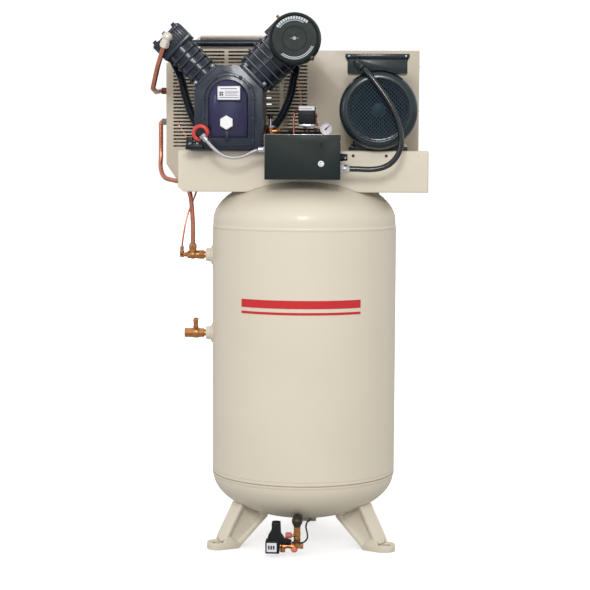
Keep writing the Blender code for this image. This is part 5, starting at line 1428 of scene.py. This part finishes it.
# Pipework -----------------------------------------------------------------------------------------
def make_discharge():
    front = SECOND_STAGE["y"] - SECOND_STAGE["head"][1] - GAP
    points = [(-0.431, front - 0.028, 1.662), (-0.463, -0.185, 1.575), (-0.486, -0.140, 1.502),
              (-0.499, 0.040, 1.497), (-0.500, COOLER_Y, 1.505), (GUARD_SIDE, COOLER_Y, 1.505)]
    pipe = tube(rounded_route(points, 0.028, 10), 0.008, 24)
    piece("discharge_pipe", pipe, COPPER, stands_for=["discharge_tube"], sharp=60)
    aim = Vector((-0.33, 0.10, -0.94)).normalized()
    knee = Vector((-0.431, front - 0.028, 1.662))
    elbow = merged(rod((-0.431, front, 1.662), TO_FRONT, 0.0160, 0.010, 8),
                   rod((-0.431, front - 0.008, 1.662), TO_FRONT, 0.0148, 0.018, 32),
                   ball(knee, 0.0155, 32, 16),
                   rod(knee, aim, 0.0128, 0.036, 32),
                   rod(knee + aim * 0.016, aim, 0.0150, 0.016, 6))
    piece("discharge_elbow", elbow, CREAM_METAL)
    union = merged(rod((-0.4965, COOLER_Y, 1.505), TO_RIGHT, 0.0125, 0.4965 + GUARD_SIDE, 6))
    piece("discharge_union", union, DARK_RED_METAL)


def make_cooler():
    inside = GUARD_OUTLINE[0][0] + 0.0023
    start, end = math.radians(162), math.radians(-158)
    points = [Vector((inside, COOLER_Y, 1.505)), Vector((inside + 0.014, COOLER_Y, 1.508))]
    for i in range(15):
        angle = start + (end - start) * i / 14
        points.append(CRANK + Vector((COOLER_R * math.cos(angle), COOLER_Y, COOLER_R * math.sin(angle))))
    points += [Vector((inside + 0.014, COOLER_Y, 1.398)), Vector((inside, COOLER_Y, 1.400))]
    piece("aftercooler_loop", tube(smooth_route(points, 8), 0.007, 16), COPPER,
          stands_for=["aftercooler_tube"])


def make_delivery():
    bend = [(-0.500, COOLER_Y, 1.360), (-0.500, 0.170, 1.290), (-0.498, 0.150, 1.240), (-0.478, 0.105, 1.211),
            (-0.440, 0.055, 1.202), (-0.408, 0.018, 1.196), (-0.386, 0.002, 1.172), (-0.377, 0.0, 1.130),
            (TEE_X, 0.0, 1.060), (TEE_X, 0.0, UPPER_PORT_Z + 0.0305)]
    top = rounded_route([(GUARD_SIDE, COOLER_Y, 1.400), (-0.500, COOLER_Y, 1.400), (-0.500, COOLER_Y, 1.360)],
                        0.012)
    piece("delivery_pipe", tube(top[:-1] + smooth_route(bend, 10), 0.0076, 24), COPPER,
          stands_for=["delivery_tube"], sharp=60)
    piece("delivery_union", rod((-0.4965, COOLER_Y, 1.400), TO_RIGHT, 0.0125, 0.4965 + GUARD_SIDE, 6),
          GREY_METAL)
    nut = merged(rod((TEE_X, 0, UPPER_PORT_Z + 0.020), UP, 0.0142, 0.014, 6),
                 rod((TEE_X, 0, UPPER_PORT_Z + 0.0330), UP, 0.0098, 0.006, 24))
    piece("delivery_nut", nut, BRASS)


def make_unloader():
    route = [(-0.4085, 0.0, UPPER_PORT_Z + 0.0165), (-0.406, 0.0, 1.005), (-0.399, 0.004, 1.050),
             (-0.389, 0.014, 1.095), (-0.372, 0.022, 1.140), (-0.360, 0.022, 1.180),
             (-0.350, 0.0, 1.250), (-0.320, -0.050, 1.286), (-0.200, -0.088, 1.289),
             (-0.060, -0.118, 1.286), (-0.0335, UNLOADER.y, 1.300), (UNLOADER.x, UNLOADER.y, 1.340),
             (UNLOADER.x, UNLOADER.y, 1.405), (-0.027, UNLOADER.y, 1.424), (-0.0182, UNLOADER.y, 1.431)]
    piece("unloader_pipe", tube(smooth_route(route, 8), 0.0032, 16), COPPER, stands_for=["unloader_tube"])
    nuts = merged(rod((-0.4085, 0, UPPER_PORT_Z + 0.014), UP, 0.0072, 0.010, 6),
                  rod((-0.0290, UNLOADER.y, 1.4305), TO_RIGHT, 0.0065, 0.0110, 6),
                  rod((UNLOADER.x, UNLOADER.y, DECK_HIGH.z + 0.0005), UP, 0.0068, 0.006, 24))
    piece("unloader_nuts", nuts, BRASS)


def make_check_valve():
    z = UPPER_PORT_Z
    shapes = [rod((BOSS_END, 0, z), TO_LEFT, 0.0108, 0.015, 32),
              rod((BOSS_END - 0.006, 0, z), TO_LEFT, 0.0165, 0.017, 6, chamfer=0.0012),
              rod((BOSS_END - 0.022, 0, z), TO_LEFT, 0.0140, 0.010, 32),
              rod((BOSS_END - 0.030, 0, z), TO_LEFT, 0.0138, 0.032, 8, chamfer=0.0012),
              ball((TEE_X, 0, z), 0.0150, 32, 16),
              rod((TEE_X, 0, z), UP, 0.0122, 0.026, 32),
              rod((-0.386, 0, z), TO_LEFT, 0.0062, 0.018, 24),
              rod((-0.390, 0, z), TO_LEFT, 0.0090, 0.008, 6),
              rod((-0.4000, 0, z), TO_LEFT, 0.0078, 0.0150, 8),
              rod((-0.4085, 0, z - 0.009), UP, 0.0078, 0.022, 8)]
    piece("check_valve_casting", merged(*shapes), BRASS, stands_for=["check_valve"], sharp=35)
    joint = merged(ring((TEE_X, 0, z + 0.0285), UP, 0.0083, 0.0128, 0.0060, 40),
                   ring((-0.4085, 0, z + 0.0245), UP, 0.0036, 0.0066, 0.0040, 24))
    piece("check_valve_ferrules", joint, ZINC)


def make_outlet_valve():
    z = LOWER_PORT_Z
    shapes = [rod((BOSS_END, 0, z), TO_LEFT, 0.0108, 0.016, 32),
              rod((BOSS_END - 0.007, 0, z), TO_LEFT, 0.0165, 0.017, 6, chamfer=0.0012),
              lathe([(0.0100, 0.0), (0.0150, 0.0), (0.0172, 0.003), (0.0180, 0.012), (0.0172, 0.021),
                     (0.0150, 0.025),
                     (0.0095, 0.025)], (BOSS_END - 0.022, 0, z), TO_LEFT, 48),
              lathe([(0.0095, 0.0), (0.0160, 0.0), (0.0172, 0.0015), (0.0172, 0.0265), (0.0160, 0.028),
                     (0.0110, 0.028), (0.0095, 0.026)], (BOSS_END - 0.044, 0, z), TO_LEFT, 6),
              ball((VALVE_X, 0, z), 0.0105, 32, 16),
              rod((VALVE_X, 0, z), UP, 0.0080, 0.032, 32),
              rod((VALVE_X, 0, z + 0.016), UP, 0.0098, 0.007, 6)]
    piece("outlet_valve_casting", merged(*shapes), BRASS, stands_for=["outlet_valve_body"], sharp=35)
    grip = []
    outline = []
    for centre_y, start in ((-0.0222, 180), (0.0222, 0)):
        for i in range(13):
            angle = math.radians(start + 180 * i / 12)
            outline.append((VALVE_X + 0.0078 * math.cos(angle), centre_y + 0.0078 * math.sin(angle)))
    grip.append(prism(outline, "xy", z + 0.0410, z + 0.0460, 0.0012, 2))
    grip.append(rod((VALVE_X, 0, z + 0.0323), UP, 0.0085, 0.0100, 32))
    grip.append(rod((VALVE_X, 0, z + 0.0455), UP, 0.0070, 0.0048, 6))
    piece("outlet_valve_grip", merged(*grip), BRASS, body="valve_handle", stands_for=["outlet_valve_handle"])


def make_drain():
    nipple = lathe([(0, 0), (0.0095, 0), (0.0100, 0.004), (0.0150, 0.016), (0.0170, 0.024), (0, 0.026)],
                   (DRAIN.x, DRAIN.y, 0.094), UP, 40)
    level = rod((DRAIN.x, DRAIN.y - 0.006, 0.1165), TO_BACK, 0.0150, 0.126, 40)
    band_ring = rod((DRAIN.x, DRAIN.y + 0.004, 0.1165), TO_BACK, 0.0175, 0.012, 40, chamfer=0.002)
    iron = merged(cut(level, tank_cutter(0.0002)), cut(band_ring, tank_cutter(0.0002)), nipple,
                  ball((DRAIN.x, DRAIN.y, 0.1155), 0.0165, 32, 16))
    piece("drain_iron_elbow", iron, DARK_METAL)
    stack = []
    for bottom, height, radius, sides in ((0.030, 0.012, 0.0125, 6), (0.041, 0.010, 0.0100, 32),
                                          (0.050, 0.014, 0.0125, 6), (0.063, 0.008, 0.0105, 32),
                                          (0.070, 0.012, 0.0128, 6), (0.081, 0.006, 0.0098, 32),
                                          (0.086, 0.012, 0.0122, 6)):
        stack.append(rod((DRAIN.x, DRAIN.y, bottom), UP, radius, height, sides, chamfer=0.0010))
    for left, radius, length, sides in ((-0.0635, 0.0080, 0.070, 32), (-0.0540, 0.0100, 0.012, 6),
                                        (-0.0320, 0.0098, 0.014, 6), (0.0020, 0.0090, 0.0100, 8)):
        stack.append(rod((left, DRAIN.y, 0.036), TO_RIGHT, radius, length, sides))
    stack.append(rod((-0.054, DRAIN.y, 0.016), UP, 0.0085, 0.020, 8))
    stack.append(ball((-0.054, DRAIN.y, 0.0350), 0.0095, 24, 12))
    stack.append(rod((DRAIN.x, DRAIN.y, DRAIN_COCK_Z), TO_LEFT, 0.0048, 0.0170, 24))
    piece("drain_stack", merged(*stack), BRASS, stands_for=["drain_valve"], sharp=35)
    bulb = merged(ball((-0.017, DRAIN.y - 0.002, 0.0265), 0.0115, 32, 16),
                  rod((-0.017, DRAIN.y - 0.002, 0.0350), UP, 0.0070, 0.006, 24))
    piece("drain_bulb", bulb, ORANGE)
    knob = [rod((-0.0253, DRAIN.y, DRAIN_COCK_Z), TO_LEFT, 0.0088, 0.0200, 32, chamfer=0.0015)]
    for i in range(10):
        angle = 2 * math.pi * i / 10
        knob.append(rod((-0.0270, DRAIN.y + 0.0082 * math.cos(angle),
                         DRAIN_COCK_Z + 0.0082 * math.sin(angle)),
                        TO_LEFT, 0.0017, 0.0165, 10))
    piece("drain_cock_knob", merged(*knob), KNOB_PINK, body="drain_knob", stands_for=["drain_cock"])
    outline = [(-0.102, 0.050), (-0.102, 0.068), (-0.089, 0.090), (-0.089, 0.1145), (-0.062, 0.1145),
               (-0.060, 0.076), (-0.048, 0.059), (-0.026, 0.0535), (-0.026, 0.048)]
    timer = [box((-0.109, -0.285, 0.0145), (-0.0640, -0.243, 0.056), 0.0025, 3),
             prism(outline, "xz", -0.283, -0.245, 0.0022, 3),
             rod((-0.0755, -0.264, 0.1080), UP, 0.0100, 0.0090, 24)]
    piece("drain_timer_housing", merged(*timer), DARK_PLASTIC, stands_for=["drain_timer"], sharp=40)
    label = box((-0.1045, -0.2858, 0.0205), (-0.0725, -0.2845, 0.0500), 0.0004, 1)
    piece("drain_timer_label", label, LABEL_WHITE)
    marks = [box((-0.1000 + 0.0078 * i, -0.2862, 0.0290), (-0.0948 + 0.0078 * i, -0.2855, 0.0410), 0.0002, 1)
             for i in range(3)]
    piece("drain_timer_marks", merged(*marks), INK)


CABLE_AZIMUTH = 70.0
CABLE_GAP = 0.006


def along_head(azimuth, rise, centre_z, direction):
    azimuth, rise = math.radians(azimuth), math.radians(rise)
    reach = (TANK_R + CABLE_GAP) * math.cos(rise)
    height = (HEAD_DEPTH + CABLE_GAP) * math.sin(rise)
    return Vector((reach * math.cos(azimuth), reach * math.sin(azimuth), centre_z + direction * height))


def make_drain_lead():
    """The timer's lead, clipped under the receiver, up its back and in under the deck."""
    route = [Vector((-0.0245, -0.2805, 0.0530)), Vector((-0.0050, -0.2815, 0.0515)),
             Vector((0.0140, -0.2790, 0.0530)), Vector((0.0250, -0.2730, 0.0640)),
             Vector((0.0250, -0.2650, 0.0780)), Vector((0.0200, -0.2480, 0.0960)),
             Vector((0.0230, -0.2150, 0.1050)), Vector((0.0250, -0.1300, 0.0880)),
             Vector((0.0270, -0.0300, 0.0760))]
    for rise in (75, 60, 45, 30, 15, 2):
        route.append(along_head(CABLE_AZIMUTH, rise, BOTTOM_HEAD_Z, -1))
    for z in (0.350, 0.600, 0.850, 1.040):
        route.append(along_head(CABLE_AZIMUTH, 0, z, 1))
    for azimuth, rise in ((62, 4), (50, 9), (40, 15), (31, 22), (24, 30)):
        route.append(along_head(azimuth, rise, TOP_HEAD_Z, 1))
    route += [Vector((0.235, 0.080, 1.205)), Vector((0.215, 0.045, 1.252)), Vector((0.180, -0.010, 1.283)),
              Vector((0.140, -0.070, 1.285)), Vector((0.110, -0.130, 1.285)), Vector((0.105, -0.1510, 1.285))]
    piece("drain_timer_lead", tube(smooth_route(route, 8), 0.0027, 12), LEAD_BLACK,
          stands_for=["drain_cable"])
    clips = []
    azimuth = math.radians(CABLE_AZIMUTH)
    out = Vector((math.cos(azimuth), math.sin(azimuth), 0))
    around = Vector((-math.sin(azimuth), math.cos(azimuth), 0))
    for z in (0.300, 0.480, 0.660, 0.840, 1.020):
        matrix = Matrix.Identity(4)
        for i, column in enumerate((out, around, Vector(UP))):
            for j in range(3):
                matrix[j][i] = column[j]
        matrix.translation = out * TANK_R + Vector((0, 0, z))
        saddle = merged(box((-0.001, -0.0045, -0.005), (0.0100, 0.0045, 0.005), 0.0015, 2),
                        box((-0.001, -0.0130, -0.005), (0.0016, 0.0130, 0.005), 0.0006, 1))
        clips.append(shaped(saddle, matrix))
    piece("drain_lead_clips", merged(*clips), DARK_PLASTIC)


make_discharge()
make_cooler()
make_delivery()
make_unloader()
make_check_valve()
make_outlet_valve()
make_drain()
make_drain_lead()


# Controls on the deck -------------------------------------------------------------------------------
def make_manifold():
    foot = TOP_HEAD_Z + head_height(MANIFOLD.x, MANIFOLD.y + 0.011) - 0.002
    x, y, z = MANIFOLD
    shapes = [rod((x, y, foot), UP, 0.0100, z - foot, 32),
              rod((x, y, z - 0.030), UP, 0.0130, 0.014, 6),
              rod((-0.0750, y, z), TO_RIGHT, 0.0095, 0.1475, 32),
              rod((x, y, z), UP, 0.0085, 0.0137, 32), ball((x, y, z), 0.0135, 32, 16),
              rod((-0.050, y, z), TO_RIGHT, 0.0130, 0.014, 6),
              rod((-0.030, y, z), TO_RIGHT, 0.0115, 0.012, 32),
              rod((0.033, y, z), TO_RIGHT, 0.0130, 0.012, 6),
              rod((0.050, y, z), TO_RIGHT, 0.0110, 0.010, 6),
              ball((GAUGE.x, y + 0.004, z), 0.0115, 32, 16),
              rod((GAUGE.x, y + 0.004, z), UP, 0.0060, 0.009, 24)]
    piece("manifold_cross", merged(*shapes), DARK_METAL, stands_for=["manifold"], sharp=35)


def make_gauge():
    x, back, z = GAUGE.x, MANIFOLD.y - 0.0120, GAUGE.z
    case = lathe([(0, 0), (GAUGE_R - 0.002, 0), (GAUGE_R, 0.003), (GAUGE_R, 0.0185),
                  (GAUGE_R - 0.0006, 0.0200),
                  (GAUGE_R - 0.0014, 0.0200), (GAUGE_R - 0.0018, 0.0190), (GAUGE_R - 0.0018, 0.0155),
                  (0, 0.0155)],
                 (x, back, z), TO_FRONT, 72)
    piece("gauge_case", case, GAUGE_STEEL, stands_for=["gauge_body"], sharp=40)
    dial = rod((x, back - 0.0150, z), TO_FRONT, GAUGE_R - 0.0020, 0.0008, 64, chamfer=0.0001)
    piece("gauge_dial", dial, DIAL_WHITE)
    face = back - 0.0158
    ticks = [flat_arc(x, face - 0.0002, z, 0.0155, 0.0005, -45, 225, 0.0003)]
    for i in range(13):
        angle = math.radians(225 - 22.5 * i)
        reach = 0.0030 if i % 3 == 0 else 0.0018
        direction = Vector((math.cos(angle), 0, math.sin(angle)))
        side = Vector((-math.sin(angle), 0, math.cos(angle))) * 0.0003
        centre = Vector((x, face - 0.0002, z))
        corners = [centre + direction * 0.0155 - side, centre + direction * 0.0155 + side,
                   centre + direction * (0.0155 - reach) + side, centre + direction * (0.0155 - reach) - side]
        ticks.append(prism([(c.x, c.z) for c in corners], "xz", face - 0.0002, face + 0.0001))
    piece("gauge_ticks", merged(*ticks), INK)
    pivot_face = back - 0.0155
    hub = merged(rod((x, pivot_face - 0.0006, z), TO_FRONT, 0.0026, 0.0026, 24),
                 shaped(prism([(-0.0020, -0.0060), (0.0020, -0.0060), (0.0008, 0.0145), (-0.0008, 0.0145)],
                              "xz",
                              pivot_face - 0.0022, pivot_face - 0.0012),
                        Matrix.Translation((x, 0, z)) @ Matrix.Rotation(math.radians(48), 4, "Y")))
    piece("gauge_hand", hub, INK, body="gauge_pointer", stands_for=["gauge_needle"])


def make_pressure_switch():
    case = [box((-0.016, -0.138, 1.3885), (0.038, -0.070, 1.447), 0.0030, 3),
            box((-0.0165, -0.1385, 1.4160), (0.0385, -0.0695, 1.4180), 0.0006, 1)]
    piece("pressure_switch_case", merged(*case), DARK_PLASTIC, stands_for=["pressure_switch"], sharp=40)
    base = merged(box((-0.014, -0.135, 1.3802), (0.036, -0.073, 1.3890), 0.0012),
                  bolt((-0.006, -0.1350, 1.3850), TO_FRONT, 0.005, 0.003),
                  bolt((0.028, -0.1350, 1.3850), TO_FRONT, 0.005, 0.003),
                  rod((MANIFOLD.x, MANIFOLD.y, 1.3745), UP, 0.0135, 0.0062, 6))
    piece("pressure_switch_base", base, ZINC)
    strip = box((-0.0145, -0.1386, 1.4330), (0.0365, -0.1375, 1.4465), 0.0004, 1)
    piece("pressure_switch_label", strip, LABEL_WHITE)
    marks = [box((-0.0120 + 0.0060 * i, -0.1389, 1.4375), (-0.0082 + 0.0060 * i, -0.1384, 1.4395), 0, 1)
             for i in range(7)]
    piece("pressure_switch_marks", merged(*marks), INK)
    lever = [rod((0.0383, -0.105, 1.418), TO_RIGHT, 0.0065, 0.0060, 32),
             box((0.0390, -0.1085, 1.3885), (0.0430, -0.1015, 1.4190), 0.0012),
             box((0.0390, -0.1105, 1.3845), (0.0480, -0.0995, 1.3930), 0.0018, 3)]
    piece("switch_arm_lever", merged(*lever), DARK_RED, body="switch_arm",
          stands_for=["pressure_switch_lever"])


def make_safety_valve():
    x, y, z = -0.1080, MANIFOLD.y, 1.3660
    shapes = [rod((-0.0753, y, z), TO_LEFT, 0.0105, 0.012, 6),
              rod((-0.0860, y, z), TO_LEFT, 0.0085, 0.016, 32),
              rod((x, y, z - 0.010), UP, 0.0115, 0.010, 6),
              rod((x, y, z - 0.001), UP, 0.0105, 0.018, 40)]
    shapes += [ring((x, y, z + 0.001 + 0.0032 * i), UP, 0.006, 0.0112, 0.0014) for i in range(3)]
    piece("safety_valve_body", merged(*shapes), BRASS, stands_for=["safety_valve"], sharp=35)
    top = [rod((x, y, z + 0.012), UP, 0.0180, 0.0040, 48),
           rod((x, y, z + 0.0160), UP, 0.0150, 0.0024, 48),
           rod((x, y, z + 0.018), UP, 0.0048, 0.024, 24)]
    piece("safety_valve_stem", merged(*top), GAUGE_STEEL)
    cap = rod((x, y, z + 0.0400), UP, 0.0082, 0.0146, 32, chamfer=0.0030)
    piece("safety_valve_cap", cap, DARK_PLASTIC)


make_manifold()
make_gauge()
make_pressure_switch()
make_safety_valve()


# Plain decorative stripes round the front of the receiver -----------------------------------------
STRIPE_GAP = 0.0007
STRIPE_REACH = 0.205
STRIPE_HEIGHTS = ((0.806, 0.832), (0.786, 0.794))


def wrapped(points_grid):
    """A thin skin over the shell, from rows of (distance round the front, height) points."""
    builder = bmesh.new()

    def place(a, z, reach):
        angle = -math.pi / 2 + a / TANK_R
        return builder.verts.new((reach * math.cos(angle), reach * math.sin(angle), z))

    layers = [[[place(a, z, reach) for a, z in row] for row in points_grid]
              for reach in (TANK_R + STRIPE_GAP, TANK_R + STRIPE_GAP * 0.3)]
    rows, columns = len(points_grid), len(points_grid[0])
    for layer, flip in zip(layers, (False, True)):
        for r in range(rows - 1):
            for c in range(columns - 1):
                face = (layer[r][c], layer[r][c + 1], layer[r + 1][c + 1], layer[r + 1][c])
                builder.faces.new(face[::-1] if flip else face)
    top, bottom = layers
    for r in (0, rows - 1):
        for c in range(columns - 1):
            builder.faces.new((top[r][c], top[r][c + 1], bottom[r][c + 1], bottom[r][c]))
    for c in (0, columns - 1):
        for r in range(rows - 1):
            builder.faces.new((top[r][c], top[r + 1][c], bottom[r + 1][c], bottom[r][c]))
    bmesh.ops.recalc_face_normals(builder, faces=builder.faces)
    return builder


def band(a0, a1, z0, z1):
    """A straight strip wrapped round the front of the shell."""
    steps = max(2, int(abs(a1 - a0) / 0.004))
    return wrapped([[(a0 + (a1 - a0) * i / steps, z) for i in range(steps + 1)] for z in (z0, z1)])


def make_stripes():
    stripes = [band(-STRIPE_REACH, STRIPE_REACH, low, high) for low, high in STRIPE_HEIGHTS]
    piece("tank_stripes", merged(*stripes), STRIPE_RED)


make_stripes()


# Studio -------------------------------------------------------------------------------------------
def make_studio():
    scene = bpy.context.scene
    scene.view_settings.view_transform = "Standard"
    world = bpy.data.worlds.new("studio")
    scene.world = world
    world.use_nodes = True
    nodes, links = world.node_tree.nodes, world.node_tree.links
    backdrop = nodes["Background"]
    backdrop.inputs["Color"].default_value = (1, 1, 1, 1)
    backdrop.inputs["Strength"].default_value = 1.05
    fill = nodes.new("ShaderNodeBackground")
    fill.inputs["Color"].default_value = (1.0, 0.995, 0.985, 1)
    fill.inputs["Strength"].default_value = 0.86
    seen = nodes.new("ShaderNodeLightPath")
    mix = nodes.new("ShaderNodeMixShader")
    links.new(seen.outputs["Is Camera Ray"], mix.inputs["Fac"])
    links.new(fill.outputs["Background"], mix.inputs[1])
    links.new(backdrop.outputs["Background"], mix.inputs[2])
    links.new(mix.outputs["Shader"], nodes["World Output"].inputs["Surface"])

    mesh = bpy.data.meshes.new("floor")
    reach = 40.0
    mesh.from_pydata([(-reach, -reach, 0), (reach, -reach, 0), (reach, reach, 0), (-reach, reach, 0)], [],
                     [(0, 1, 2, 3)])
    floor = bpy.data.objects.new("floor", mesh)
    scene.collection.objects.link(floor)
    floor.location.z = CAD_BOX[0][2] - 0.0002
    look = bpy.data.materials.new("floor_white")
    look.use_nodes = True
    shader = look.node_tree.nodes["Principled BSDF"]
    shader.inputs["Base Color"].default_value = (0.50, 0.50, 0.505, 1)
    shader.inputs["Roughness"].default_value = 0.9
    shader.inputs["Emission Color"].default_value = (1, 1, 1, 1)
    place = look.node_tree.nodes.new("ShaderNodeTexCoord")
    distance = look.node_tree.nodes.new("ShaderNodeVectorMath")
    distance.operation = "LENGTH"
    glow = look.node_tree.nodes.new("ShaderNodeMapRange")
    glow.inputs["From Min"].default_value = 0.40
    glow.inputs["From Max"].default_value = 1.2
    glow.inputs["To Min"].default_value = 0.66
    glow.inputs["To Max"].default_value = 1.1
    ray = look.node_tree.nodes.new("ShaderNodeLightPath")
    shown = look.node_tree.nodes.new("ShaderNodeMath")
    shown.operation = "MULTIPLY"
    look.node_tree.links.new(place.outputs["Object"], distance.inputs[0])
    look.node_tree.links.new(distance.outputs["Value"], glow.inputs["Value"])
    look.node_tree.links.new(glow.outputs["Result"], shown.inputs[0])
    look.node_tree.links.new(ray.outputs["Is Camera Ray"], shown.inputs[1])
    look.node_tree.links.new(shown.outputs["Value"], shader.inputs["Emission Strength"])
    mesh.materials.append(look)

    def area(name, place, target, size, power, colour=(1, 1, 1)):
        data = bpy.data.lights.new(name, "AREA")
        data.shape = "RECTANGLE"
        data.size, data.size_y = size
        data.energy = power
        data.color = colour
        lamp = bpy.data.objects.new(name, data)
        scene.collection.objects.link(lamp)
        lamp.location = place
        aim = Vector(target) - Vector(place)
        lamp.rotation_euler = aim.to_track_quat("-Z", "Y").to_euler()

    area("key", (0.05, -4.1, 2.9), (0, 0, 0.9), (0.9, 0.9), 62)
    area("side_sheen", (-3.0, -3.2, 2.1), (0, 0, 1.3), (0.5, 0.9), 10, (0.86, 0.86, 1.0))


make_studio()
